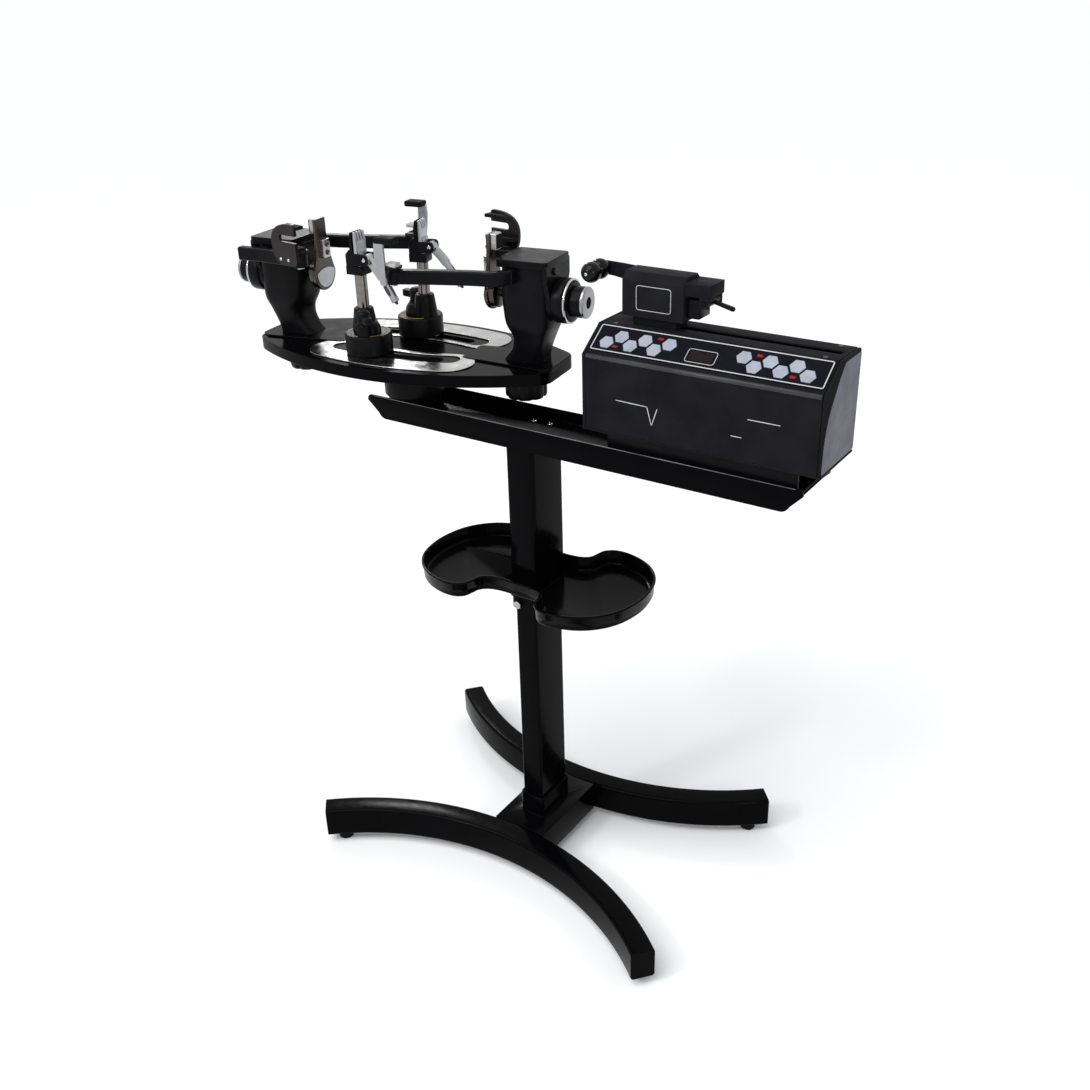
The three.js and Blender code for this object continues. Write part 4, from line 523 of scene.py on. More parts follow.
# Tool tray
TRAY = {"length": 190.0, "width": 110.0, "middle": -4.0, "rim": high_of("tool_tray").z, "depth": 26.0,
        "wall": 2.2, "lip": 1.6, "roll": 3.0, "under_edge": 0.4, "outer_edge": 0.6, "inner_edge": 0.5}
TRAY_SHARES = ((0, 0.54), (0.13, 0.54), (0.23, 0.57), (0.295, 0.65), (0.315, 0.78), (0.34, 0.91), (0.42, 1),
               (0.55, 1), (0.72, 0.9), (0.86, 0.71), (0.96, 0.42), (1, 0))
TRAY_FOOT = ((-7.0, 0.0), (-4.0, 0.6), (-2.0, 2.0), (-1.0, 4.5))  # floor to wall, as (offset, rise)
COLLAR = {"wall": 2.7, "corner": 9.0, "depth": 14.0, "lip": 1.0}


def tray_outline(offset):
    """The dish's outline with two lobes, moved outwards by an offset."""
    loop = []
    for quarter, (sx, sy) in enumerate(((1, 1), (1, -1), (-1, -1), (-1, 1))):
        run = TRAY_SHARES if quarter % 2 == 0 else TRAY_SHARES[::-1]
        loop += [(sx * x * TRAY["length"], sy * y * TRAY["width"]) for x, y in run[:-1]]
    curve = smooth(loop, 6, closed=True)
    moved_out = []
    for i, (x, y) in enumerate(curve):
        before, after = curve[i - 1], curve[(i + 1) % len(curve)]
        along = Vector((after[0] - before[0], after[1] - before[1])).normalized()
        moved_out.append((x - along.y * offset, y + along.x * offset + TRAY["middle"]))
    return moved_out


def make_tray():
    own, rim, wall, lip = TRAY, TRAY["rim"], TRAY["wall"], TRAY["lip"]
    bottom, under = rim - own["depth"], rim - own["roll"]
    steps = [(offset, bottom + rise) for offset, rise in TRAY_FOOT]
    steps += [(0, under), (lip - own["under_edge"], under), (lip, under + own["under_edge"]),
              (lip, rim - own["outer_edge"]), (lip - own["outer_edge"], rim),
              (own["inner_edge"] - wall, rim), (-wall, rim - own["inner_edge"])]
    steps += [(offset - wall, bottom + wall + rise) for offset, rise in reversed(TRAY_FOOT)]
    dish = grid([[(x, y, z) for x, y in tray_outline(offset)] for offset, z in steps])
    sleeve = TUBES["column_sleeve"]
    half = (high_of("column_sleeve") - low_of("column_sleeve")) / 2
    half_x, half_y = half.x + sleeve["proud"] + GAP, half.y + GAP
    low = bottom - COLLAR["depth"]
    opening = slab(rounded(half_x, half_y, sleeve["corner"]), low - CUT, rim + CUT)
    collar = slab(rounded(half_x + COLLAR["wall"], half_y + COLLAR["wall"], COLLAR["corner"]), low,
                  bottom + wall + COLLAR["lip"])
    add("tray_skin", carve(dish, opening), "gloss_black", "tool_tray", BASE, 0, stands=True)
    add("tray_collar", carve(collar, opening), "gloss_black", "tool_tray", BASE, 0.8)


# Turntable
PLATE = {"length": 253.0, "width": 123.0, "arc": 450.0, "corner": 16.0, "thick": 18.0,
         "top": low_of("near_track").z - GAP}
PLATE["bottom"] = PLATE["top"] - PLATE["thick"]
ARC_CENTRE = PLATE["arc"] - PLATE["width"]
POCKET = {"rim": 8.0, "reach": 150.0, "roof": 8.0, "hub": 38.0, "rib": 4.0}
HUB = {"radius": 30.0, "bore": 12.6, "depth": 7.0}
SLOT = {"reach": 56.0, "length": 75.5, "half": 8.0}
STUD = {"radius": 5.3, "inner": 179.0, "outer": 209.0}
END_BLOCK = ((105.0, 28.0), (112.0, 31.0), (237.0, 44.0), (PLATE["length"], 32.0))
BLOCK_ROOT = 4.0
TRACK = {"reach": 70.5, "length": 98.0, "half": 39.5, "slot_length": 92.0, "slot_half": 17.0}


def plate_outline(inset, reach=None):
    """Two long arcs between straight ends with round corners, or cut off square at a reach."""
    length = reach or PLATE["length"] - inset
    radius = PLATE["arc"] - inset
    arc_end = length if reach else length - PLATE["corner"]
    turn = degrees(asin(arc_end / radius))
    side = sqrt(radius ** 2 - length ** 2) - ARC_CENTRE
    arc_side = sqrt(radius ** 2 - arc_end ** 2) - ARC_CENTRE
    flat = side - PLATE["corner"]
    outline = []
    for sign in (1, -1):
        long_arc = arc(0, -sign * ARC_CENTRE, radius, sign * 90 - turn, sign * 90 + turn, 48)
        if reach:
            outline += long_arc
            continue
        start = bend((length, sign * flat), (length, sign * side), (arc_end, sign * arc_side))
        end = bend((-arc_end, sign * arc_side), (-length, sign * side), (-length, sign * flat))
        outline += [(sign * x, y) for x, y in start] + long_arc + [(sign * x, y) for x, y in end]
    return outline


def path_outline(side, reach, half_length, half_width):
    """A band along a clamp's path with round ends."""
    radius = ARC_CENTRE + reach
    half = degrees(asin(half_length / radius))
    cy = -side * ARC_CENTRE
    outline = arc(0, cy, radius + half_width, side * 90 - half, side * 90 + half, 40)
    for sign in (1, -1):
        angle = side * 90 + sign * half
        x, y = arc(0, cy, radius, angle, angle, 1)[0]
        first = angle if sign > 0 else angle + 180
        outline += arc(x, y, half_width, first, first + 180, 18)[1:-1]
        if sign > 0:
            outline += arc(0, cy, radius - half_width, side * 90 + half, side * 90 - half, 40)
    return outline


def make_turntable():
    node, bottom, top = "turntable_plate", PLATE["bottom"], PLATE["top"]
    under, over, roof = bottom - CUT, top + CUT, top - POCKET["roof"]
    ribs_reach, hub_low = POCKET["reach"] + CUT, low_of(node).z
    pocket = carve(slab(plate_outline(POCKET["rim"], POCKET["reach"]), under, roof),
                   lathe([(POCKET["hub"], under - CUT), (POCKET["hub"], top)]),
                   box_form((-ribs_reach, -POCKET["rib"], under - CUT), (ribs_reach, POCKET["rib"], top)))
    slots = [slab(path_outline(side, SLOT["reach"], SLOT["length"], SLOT["half"]), under, over)
             for side in (-1, 1)]
    studs, lanes = [], []
    for sign in (-1, 1):
        ends = sorted((sign * STUD["inner"], sign * STUD["outer"]))
        studs += [rod(STUD["radius"], (x, 0, under), (x, 0, over)) for x in ends]
        lanes.append(box_form((ends[0], -STUD["radius"], under), (ends[1], STUD["radius"], over)))
    bore = rod(HUB["bore"], (0, 0, hub_low - CUT), (0, 0, bottom + HUB["depth"]), 48)
    hub = rod(HUB["radius"], (0, 0, hub_low), (0, 0, roof), 64)
    table = carve(slab(plate_outline(0), bottom, top), pocket, *slots, *studs, *lanes, bore)
    add("plate_skin", table, "gloss_black", node, TABLE, 1.6, stands=True)
    add("plate_hub", carve(hub, bore), "gloss_black", node, TABLE, 0.6)
    for sign, name in ((1, "right"), (-1, "left")):
        outline = [(sign * x, -y) for x, y in END_BLOCK] + [(sign * x, y) for x, y in reversed(END_BLOCK)]
        block = carve(slab(outline, top - BLOCK_ROOT, high_of(node).z), *studs, *lanes)
        add(name + "_end_block", block, "gloss_black", node, TABLE, 1.2)
    for side, track in ((-1, "near_track"), (1, "far_track")):
        low, high = low_of(track).z, high_of(track).z
        band = slab(path_outline(side, TRACK["reach"], TRACK["length"], TRACK["half"]), low, high)
        opening = path_outline(side, SLOT["reach"], TRACK["slot_length"], TRACK["slot_half"])
        band = carve(band, slab(opening, low - CUT, high + CUT))
        add(track + "_skin", band, "polished_steel", track, TABLE, 0.5, stands=True)


# Towers
ARM = {"top": high_of("right_long_arm").z, "bottom": low_of("right_long_arm").z, "near": 195.5, "far": 222.5,
       "half": 7.5, "corner": 3.2, "root": 9.0, "eye": 11.0, "edge": 1.5}
TOWER = {"inner": 172.0, "outer": 250.0, "depth": 36.0, "face": 252.0, "platform": 11.0, "stud": 195.0,
         "foot": high_of("turntable_plate").z + GAP, "axis": middle("right_arm_knob").z}
TOWER["height"] = high_of("right_tower").z - TOWER["platform"] - TOWER["foot"]
TOWER_SHARES = ((0, -0.06, 0.76, 0.66), (0.05, 0.02, 0.76, 0.68), (0.15, 0.15, 0.8, 0.75),
                (0.27, 0.17, 0.88, 0.84), (0.4, 0.06, 0.97, 0.98), (0.54, 0.02, 0.98, 1), (0.69, 0, 0.98, 1),
                (0.84, 0.01, 0.99, 1), (1, 0.02, 1, 1))
CHANNEL = {"back": 27.3, "front": 60.0}
PLATFORM = {"half": 39.0, "corner": 6.0}
CHEEK = {"half": 38.0, "rise": 5.0, "drop": 18.0, "radius": 29.0, "start": 165.0, "end": 375.0, "thick": 8.0,
         "proud": -0.2, "boss": 26.0, "boss_depth": 14.0, "bolt_side": -13.0, "bolt_drop": 6.0}
SUPPORT = {"radius": 27.0, "neck": 13.0, "shoulder": 59.0, "inner": 145.0, "thick": 6.0, "bore": 9.1,
           "bore_depth": 42.0}
SUPPORT["axis"] = low_of("right_head_support").z + SUPPORT["radius"]
SUPPORT["top"] = high_of("right_head_support").z - SUPPORT["axis"]


def tower_ring(height, inner, outer, depth):
    """One level of the casting, a rounded square, from shares of the tower's height, width and depth."""
    width = TOWER["outer"] - TOWER["inner"]
    low, high = TOWER["inner"] + inner * width, TOWER["inner"] + outer * width
    up = TOWER["foot"] + height * TOWER["height"]
    ring = []
    for i in range(ROUND):
        c, s = cos(2 * pi * i / ROUND), sin(2 * pi * i / ROUND)
        across, aside = copysign(abs(c) ** 0.5, c), copysign(abs(s) ** 0.5, s)
        ring.append(((low + high) / 2 + across * (high - low) / 2, aside * depth * TOWER["depth"], up))
    return ring


def make_tower(name, place):
    node, look, face, axis = name + "_tower", "satin_black", TOWER["face"], TOWER["axis"]
    top = TOWER["foot"] + TOWER["height"]
    rings = [tower_ring(*share) for share in smooth(TOWER_SHARES, 5)]
    channels, wide = [], ARM["root"] + GAP
    for side, x in ((-1, ARM["near"]), (1, ARM["far"])):
        back, front = sorted((-side * CHANNEL["back"], side * CHANNEL["front"]))
        channels.append(box_form((x - wide, back, ARM["bottom"] - GAP), (x + wide, front, ARM["top"] + GAP)))
    bore = rod(SUPPORT["bore"], (TOWER["inner"] - CUT, 0, SUPPORT["axis"]),
               (TOWER["inner"] + SUPPORT["bore_depth"], 0, SUPPORT["axis"]))
    skin(node, carve(grid(rings), *channels, bore), look, place, 0.5, 45)
    half = (face - TOWER["inner"]) / 2
    platform = rounded(half, PLATFORM["half"], PLATFORM["corner"], face - half)
    add(name + "_platform", slab(platform, top, top + TOWER["platform"]), look, node, place, 1.2)
    corners = [(CHEEK["half"], top - CHEEK["drop"]), (CHEEK["half"], top + CHEEK["rise"])]
    flank = [(-y, z) for y, z in reversed(corners)]
    flank += arc(0, axis, CHEEK["radius"], CHEEK["start"], CHEEK["end"], 24) + corners
    cheek = along_x(slab(flank, face - CHEEK["thick"], face + CHEEK["proud"]))
    add(name + "_cheek", cheek, look, node, place, 0.8)
    boss = along_x(lathe([(CHEEK["boss"], TOWER["outer"] - CHEEK["boss_depth"]), (CHEEK["boss"], face)]))
    add(name + "_boss", shifted(boss, z=axis), look, node, place, 1.0)
    bolt = shifted(along_x(screw_head("cheek")), face, CHEEK["bolt_side"], top - CHEEK["bolt_drop"])
    add(name + "_cheek_bolt", bolt, "gloss_plastic", node, place, 0)
    make_lock_knob(name, place)
    make_knobs(name, place)
    make_support(name, place)
    make_arms(name, place)


LOCK = {"radius": 31.0, "height": 27.0, "ribs": 8, "dip": 2.6, "collar": 14.0, "stud": 6.0, "stud_top": 4.0}
LOCK_EDGE = ((4.0, 0.0), (1.2, 1.0), (0.0, 4.0))  # the rounded rim, as (inset, rise)


def make_lock_knob(name, place):
    node = name + "_lock_knob"
    bottom = low_of(node).z
    top = bottom + LOCK["height"]

    def ring(radius, z):
        points = []
        for i in range(128):
            angle = 2 * pi * i / 128
            own = radius - LOCK["dip"] * max(0.0, cos(LOCK["ribs"] * angle)) ** 1.5
            points.append((own * cos(angle), own * sin(angle), z))
        return points

    sizes = [(inset, bottom + rise) for inset, rise in LOCK_EDGE]
    sizes += [(inset, top - rise) for inset, rise in reversed(LOCK_EDGE)]
    body = grid([ring(LOCK["radius"] - inset, z) for inset, z in sizes])
    collar = lathe([(LOCK["collar"], top - 1), (LOCK["collar"], PLATE["bottom"] - GAP)], 64)
    stud_low, stud_top = bottom + LOCK["stud"], PLATE["bottom"] + LOCK["stud_top"]
    stud = rod(STUD["radius"], (0, 0, stud_low), (0, 0, stud_top))
    own_place = place @ at(TOWER["stud"])
    skin(node, carve(body, stud), "black_plastic", own_place, 0)
    add(name + "_lock_collar", carve(collar, stud), "black_plastic", node, own_place, 0.6)


# Turned forms along the knobs' axis, as (radius, distance from the tower's face)
ARM_KNOB = ((8.3, 0.0), (30.0, 0.0), (31.6, 0.8), (32.0, 2.0), (32.0, 15.0), (31.4, 17.4), (30.6, 18.0),
            (8.3, 18.0))
KNOB_RING = ((8.3, 18.0), (30.8, 18.0), (31.7, 18.4), (32.0, 19.2), (32.0, 20.6), (31.4, 21.2), (8.3, 21.2))
KNOB_DISC = ((8.3, 21.2), (29.6, 21.2), (29.2, 21.8), (28.0, 23.0), (8.3, 23.0))
SUPPORT_KNOB = ((21.0, 23.3), (21.8, 23.9), (22.0, 24.8), (22.0, 38.8), (21.8, 39.8), (21.2, 40.3))
KNOB_CAP = ((22.0, 40.3), (22.4, 40.7), (22.4, 43.7), (21.8, 44.7), (20.4, 45.24))
CAP_SOCKET = ((8.2, 40.9), (8.2, 50.0))
CAP_HOLLOW = ((8.0, 40.6), (8.0, 41.1))


def make_knobs(name, place):
    """The arm knob with its chrome ring, then the support knob with its silver cap."""
    arm_knob, support_knob = name + "_arm_knob", name + "_support_knob"
    axis = place @ at(TOWER["face"] + GAP, 0, TOWER["axis"])

    def turned_form(profile, steps=96, closed=False):
        return along_x(lathe(profile, steps, closed))

    skin(arm_knob, turned_form(ARM_KNOB, closed=True), "satin_black", axis, 0)
    add(name + "_knob_ring", turned_form(KNOB_RING, closed=True), "chrome", arm_knob, axis, 0)
    add(name + "_knob_disc", turned_form(KNOB_DISC, closed=True), "satin_black", arm_knob, axis, 0)
    skin(support_knob, turned_form(SUPPORT_KNOB), "satin_black", axis, 0)
    cap = carve(turned_form(KNOB_CAP), turned_form(CAP_SOCKET, 48))
    add(name + "_knob_cap", cap, "cap_steel", support_knob, axis, 0.5)
    add(name + "_cap_hollow", turned_form(CAP_HOLLOW, 48), "rubber", support_knob, axis, 0)


# Boxes on the head support as (low, high), from its axis and its blade's inner face
HOOK = ((5.0, -9.0, SUPPORT["shoulder"]), (15.0, 9.0, SUPPORT["top"]))
PAD = ((15.0, -8.0, SUPPORT["shoulder"] + 2), (16.5, 8.0, SUPPORT["top"] - 2))
BLOCK = ((-6.0, -11.0, 23.0), (1.0, 7.0, 51.0))
# Turned forms on it, as (radius, distance from that face)
SUPPORT_ROD = ((23.0, 5.5), (24.0, 6.5), (24.0, 14.0), (22.5, 15.0), (8.7, 15.0), (8.7, 57.0))
SUPPORT_SCREW = ((3.6, -7.6), (4.0, -7.0), (4.0, -5.0))
LENS = {"radius": 22.0, "low": 2.0, "high": 13.0, "angle": 5.0, "start": -1.2, "end": 0.2}


def make_support(name, place):
    """The head support: a blade with a hook and a pad, on a rod, with a lens and a block before it."""
    node, own = name + "_head_support", SUPPORT
    place = place @ at(own["inner"], 0, own["axis"])
    radius, neck, shoulder, top = own["radius"], own["neck"], own["shoulder"], own["top"]
    outline = arc(0, 0, radius, 180, 360, 32) + bend((radius, 0), (16, 26), (neck, shoulder))[1:]
    outline += [(neck, shoulder), (neck, top), (-neck, top), (-neck, shoulder)]
    outline += bend((-neck, shoulder), (-16, 26), (-radius, 0))[1:]
    skin(node, along_x(slab(outline, 0, own["thick"])), "dark_steel", place, 1.6)
    low, wide, turn = LENS["low"], LENS["radius"], LENS["angle"]
    crescent = bend((-wide, low), (0, LENS["high"]), (wide, low), 16) + arc(0, 0, wide, turn, -180 - turn, 32)
    lens = along_x(slab(crescent, LENS["start"], LENS["end"]))
    for label, form, look, edge in (("hook", box_form(*HOOK), "polished_steel", 1.6),
                                    ("pad", box_form(*PAD), "rubber", 0.5),
                                    ("rod", along_x(lathe(SUPPORT_ROD)), "dark_steel", 0.3),
                                    ("lens", lens, "cast_silver", 0.5),
                                    ("block", box_form(*BLOCK), "polished_steel", 1.4)):
        add("%s_support_%s" % (name, label), form, look, node, place, edge)
    for height in (976, 988):
        screw = shifted(along_x(lathe(SUPPORT_SCREW, 32)), 0, -2, height - own["axis"])
        add("%s_support_screw_%d" % (name, height), screw, "dark_steel", node, place, 0)


# Arms and claws
ROOT = {"back": 18.0, "front": 50.0, "corner": 2.5, "start": 46.25}
EYE_BACK = 23.0  # from a claw's plate back to its arm's eye
CLAW = {"mouth": 1016.0, "half": 13.0, "lip": 5.0, "web": 5.0, "slot": 5.0, "depth": 14.0, "wide": 10.0,
        "foot": 5.0, "bolt": 5.0, "bolt_back": 22.0, "tip": 8.5, "tip_height": 985.0}
LONG = {"half": 10.0, "reach": 42.0, "side": 120.0}
SHORT = {"half": 27.0, "side": 86.0, "turn": radians(14), "slot_end": 2.7}
SHORT_REACH = {"right": 124.0, "left": 147.0}
LONG_BEND_SHARES = ((0.13, 1.69), (-0.28, 1.86), (-0.95, 2.22))
SHORT_BEND_SHARES = ((0.44, 1.78), (0.08, 2.0))
LEFT_TAIL = ((259.0, 54.0), (250.0, 53.7), (ARM["far"], 54.0), (192.0, 57.0), (165.0, 61.0))
# Boxes on the long claw as (low, high, look), from the mouth's middle
LONG_PADS = {"top": ((-20.0, -CLAW["depth"], 13.0), (10.0, 6.0, 21.8), "rubber"),
             "bottom": ((-20.0, -CLAW["depth"], -19.0), (-2.0, 0.5, -13.0), "pale_rubber")}


def make_arm(name, kind, side, x, path, place):
    """An arm from its channel in the tower to the eye under its claw."""
    node, look = "%s_%s_arm" % (name, kind), "satin_black"
    bottom, top, eye_radius, edge = ARM["bottom"], ARM["top"], ARM["eye"], ARM["edge"]
    middle_z, half = (top + bottom) / 2, (top - bottom) / 2
    strip = ribbon(smooth(path, 12), rounded(ARM["half"], half, ARM["corner"], 0, middle_z))
    section = rounded(ARM["root"], half, ROOT["corner"], 0, middle_z)
    ends = sorted((-side * ROOT["back"], side * ROOT["front"]))
    root = grid([[(x + aside, y, up) for aside, up in section] for y in ends])
    eye = lathe([(eye_radius - edge, bottom), (eye_radius, bottom + edge), (eye_radius, top - edge),
                 (eye_radius - edge, top)], 64)
    bolt = lathe([(5.5, bottom - 2.6), (6, bottom - 2), (6, bottom + 1)], 6)
    skin(node, strip, look, place, 0.3, 50)
    add(node + "_root", root, look, node, place, 1.2, 50)
    add(node + "_eye", shifted(eye, *path[-1]), look, node, place, 0.4)
    add(node + "_bolt", shifted(bolt, *path[-1]), "chrome", node, place, 0.3)


def claw_outline(half):
    """The short claw's plate seen from its side, in (along, up)."""
    bottom, top, corner = ARM["top"] - 12, CLAW["mouth"] + CLAW["half"] + 9, 5 - half
    level, waist = (bottom + ARM["top"]) / 2, (top + bottom) / 2
    outline = [(-half, level)]
    outline += bend((-half, top - 5), (-half, top), (corner, top))
    outline += bend((corner, top), (half, top), (half, waist), 14)
    outline += bend((half, waist), (half, bottom), (0, bottom), 14)
    outline += bend((0, bottom), (-half, bottom), (-half, level), 8)
    return outline


def blade_outline():
    """The long claw's plate, which narrows towards the arm's end, in (along, up)."""
    top = 21.5
    outline = [(-4, top), (-5, -16), (-5, -42)]
    outline += bend((-5, -42), (-4, -45), (0, -45), 6)[1:] + bend((4, -44), (10, -24), (11.5, -1), 10)
    outline += bend((11.5, -1), (12, top), (5, top), 10)
    return [(along, CLAW["mouth"] + up) for along, up in outline]


def clip_band(outline, low, high):
    """The part of a convex outline between two heights."""
    def clipped(points, level, keep_above):
        result = []
        for i, p in enumerate(points):
            q = points[(i + 1) % len(points)]
            inside = (p[1] >= level) == keep_above
            if inside:
                result.append(p)
            if inside != ((q[1] >= level) == keep_above):
                t = (level - p[1]) / (q[1] - p[1])
                result.append((p[0] + t * (q[0] - p[0]), level))
        return result

    return clipped(clipped(outline, low, True), high, False)


def long_web(node, place):
    for label, (low, high, look) in LONG_PADS.items():
        pad = shifted(box_form(low, high), z=CLAW["mouth"])
        add("%s_%s" % (node, label), pad, look, node, place, 2.4)
    return along_y(slab(blade_outline(), 0, CLAW["web"]))


def short_web(node, place):
    outline, end = claw_outline(SHORT["half"]), SHORT["slot_end"]
    web, slot, mouth = CLAW["web"], CLAW["slot"], CLAW["mouth"]
    for label, side in (("top", 1), ("bottom", -1)):
        near, far = side * CLAW["half"], side * (CLAW["half"] + CLAW["lip"])
        band = clip_band(outline, mouth + min(near, far), mouth + max(near, far))
        add("%s_%s" % (node, label), along_y(slab(band, -CLAW["depth"], 0.5)), "rubber", node, place, 1.4)
    tool = box_form((-SHORT["half"] - CUT, -CUT, mouth - slot), (end, web + CUT, mouth + slot))
    tip = rod(slot, (end, -CUT, mouth), (end, web + CUT, mouth), 40)
    return carve(along_y(slab(outline, 0, web)), tool, tip)


def make_claw(name, kind, place):
    node, web = "%s_%s_claw" % (name, kind), CLAW["web"]
    if kind == "long":
        form, look, wide = long_web(node, place), "cast_silver", LONG["half"] - 0.5
    else:
        form, look, wide = short_web(node, place), "claw_steel", CLAW["wide"]
    skin(node, form, look, place, 1.4)
    low = ARM["top"] + GAP
    top = low + CLAW["foot"]
    foot = box_form((-wide, -34, low), (wide, 2, top))
    add(node + "_foot", foot, "claw_steel", node, place, 1.2)
    heel = box_form((-wide, -10, top - 0.5), (wide, 1, CLAW["mouth"] - CLAW["half"] - 4))
    add(node + "_heel", heel, "claw_steel", node, place, 1.0)
    bolt = lathe([(2.6, top), (2.6, top + 2), (1.8, top + 2.8)], 24)
    tip = along_y(lathe([(2.4, web - 1), (2.4, web + 0.9), (1.6, web + 1.4)], 24))
    for side in (-1, 1):
        label = side * CLAW["bolt"] + CLAW["bolt"]
        own = shifted(bolt, side * CLAW["bolt"], -CLAW["bolt_back"])
        add("%s_bolt_%d" % (node, label), own, "chrome", node, place, 0)
        if kind == "short":
            own = shifted(tip, side * CLAW["tip"], 0, CLAW["tip_height"])
            add("%s_tip_%d" % (node, label), own, "chrome", node, place, 0)


def beside_tower(shares, side):
    """Places beside a tower, from shares of its width and depth."""
    width = TOWER["outer"] - TOWER["inner"]
    return [(TOWER["inner"] + across * width, side * aside * TOWER["depth"]) for across, aside in shares]


def make_arms(name, place):
    reach, side = LONG["reach"], -LONG["side"]
    start = [(ARM["near"], -ROOT["start"])]
    path = start + beside_tower(LONG_BEND_SHARES, -1) + [(reach, side + EYE_BACK)]
    make_arm(name, "long", -1, ARM["near"], path, place)
    make_claw(name, "long", place @ at(reach, side) @ turned(pi))
    reach, side, turn = SHORT_REACH[name], SHORT["side"], -SHORT["turn"]
    start = [(ARM["far"], ROOT["start"])] + beside_tower(SHORT_BEND_SHARES, 1)
    if name == "left":
        start = list(LEFT_TAIL)
    path = start + [(reach + EYE_BACK * sin(turn), side - EYE_BACK * cos(turn))]
    make_arm(name, "short", 1, ARM["far"], path, place)
    make_claw(name, "short", place @ at(reach, side) @ turned(turn))


# String clamps, drawn with the foot at height zero
CLAMPS = {"near": {"side": -1, "reach": -39.0, "base": 146.5, "head": -4.0},
          "far": {"side": 1, "reach": -15.0, "base": -16.7, "head": 10.0}}
CLAMP = {"foot": PLATE["top"] + 2.1, "post": 13.0, "post_bore": 9.4, "pin_bore": 4.3, "root": 28.0,
         "top": 47.0}
BOSS = (-16.0, 10.0)
SWELL = {"length": 26.0, "width": 19.0}
SWELL_SHARES = ((1, 28), (1, 31), (0.99, 35), (0.95, 39), (0.87, 43), (0.76, 46), (0.6, 47))  # with heights
CONE = ((19.0, 28.0), (18.6, 34.0), (16.4, 50.0), (14.6, 62.5), (13.6, 64.0))


def make_clamp(name):
    own = CLAMPS[name]
    radius = ARC_CENTRE + SLOT["reach"]
    run = -own["side"] * asin(own["reach"] / radius)
    base = radians(own["base"])
    stand = TABLE @ at(0, -own["side"] * ARC_CENTRE) @ turned(run)
    stand = stand @ at(0, own["side"] * radius, CLAMP["foot"]) @ turned(base)
    node, look, post, root = name + "_clamp_base", "satin_black", CLAMP["post"], CLAMP["root"]
    bore = rod(CLAMP["post_bore"], (post, 0, 5), (post, 0, 80), 48)
    pin = rod(CLAMP["pin_bore"], (*BOSS, 30), (*BOSS, 60))
    disc = lathe([(33.5, 0), (35, 1.5), (35, 27), (34.4, 29), (33, 30)], 96)
    skin(node, carve(disc, bore), look, stand, 0.4)
    shoe = lathe([(15, -15), (15, -10.4), (6.5, -10.4), (6.5, 1)], 48)
    add(name + "_clamp_shoe", shoe, look, node, stand, 0.5)
    swell = lathe([(SWELL["length"] * share, height) for share, height in SWELL_SHARES], 64)
    swell = moved(swell, Matrix.Diagonal((1, SWELL["width"] / SWELL["length"], 1, 1)))
    add(name + "_clamp_swell", carve(swell, bore, pin), look, node, stand, 0, 60)
    add(name + "_clamp_cone", carve(shifted(lathe(CONE), post), bore), look, node, stand, 0.4)
    boss = shifted(lathe([(12, root), (12, CLAMP["top"] - 1.2), (11, CLAMP["top"])], 56), *BOSS)
    add(name + "_clamp_boss", carve(boss, pin), look, node, stand, 0.4)
    ring = lathe([(27.2, 29.4), (28.4, 29.4), (28.4, 30.35), (27.2, 30.35)], 96, closed=True)
    add(name + "_clamp_ring", ring, "print_yellow", node, stand, 0)
    make_lock_lever(name, stand @ at(*BOSS))
    axis = stand @ at(post) @ turned(radians(own["head"]) - base - run)
    node = name + "_clamp_post"
    shaft = lathe([(8.6, 20), (9, 20.4), (9, 113.6), (8.6, 114), (6, 114), (6, 126)], 64)
    skin(node, shaft, "post_steel", axis, 0.2)
    dressed(name + "_clamp_head", 0.8)
    dressed(name + "_clamp_jaw", 0.6)
    make_clamp_lever(name, axis)


def make_lock_lever(name, place):
    node, look, foot = name + "_clamp_lock_lever", "black_plastic", CLAMP["top"] + GAP
    hub = lathe([(10.5, foot), (10.5, foot + 13), (10.2, foot + 15), (9, foot + 17.6), (7, foot + 19.2),
                 (4.5, foot + 20)], 56)
    skin(node, hub, look, place, 0.3)
    handle = slab(rounded(13.5, 6, 4, -13.5), foot + 3, foot + 14)
    add(name + "_lock_handle", handle, look, node, place, 1.6)
    pin = lathe([(4, 30.6), (4, foot + 3)], 32)
    add(name + "_lock_pin", pin, "polished_steel", node, place, 0)


LEVER = {"x": 17.0, "z": 137.3, "reach": 44.0, "drop": 58.3, "grip_start": 13, "hub": 9.1, "pin": 12.0,
         "steps": 24}
LEVER_SHARES = ((0, 0), (0.39, 0.31), (0.75, 0.69), (1, 1))


def lever_grip(path):
    """A swollen grip along the lever's free end."""
    start, end = (Vector((path[i][0], 0, path[i][1])) for i in (LEVER["grip_start"], -1))
    along = (end - start).normalized()
    across = Vector((-along.z, 0, along.x))
    rings = []
    for i in range(LEVER["steps"] + 1):
        t = i / LEVER["steps"]
        swell = sin(pi * min(max(t, 0.02), 0.98)) ** 0.5
        centre = start + (end - start) * t + along * (t - 0.5) * 9
        rings.append([centre + across * (6.4 * swell * c) + Vector((0, 5.2 * swell * s, 0))
                      for c, s, _ in circle(1, 0, 32)])
    return grid(rings)


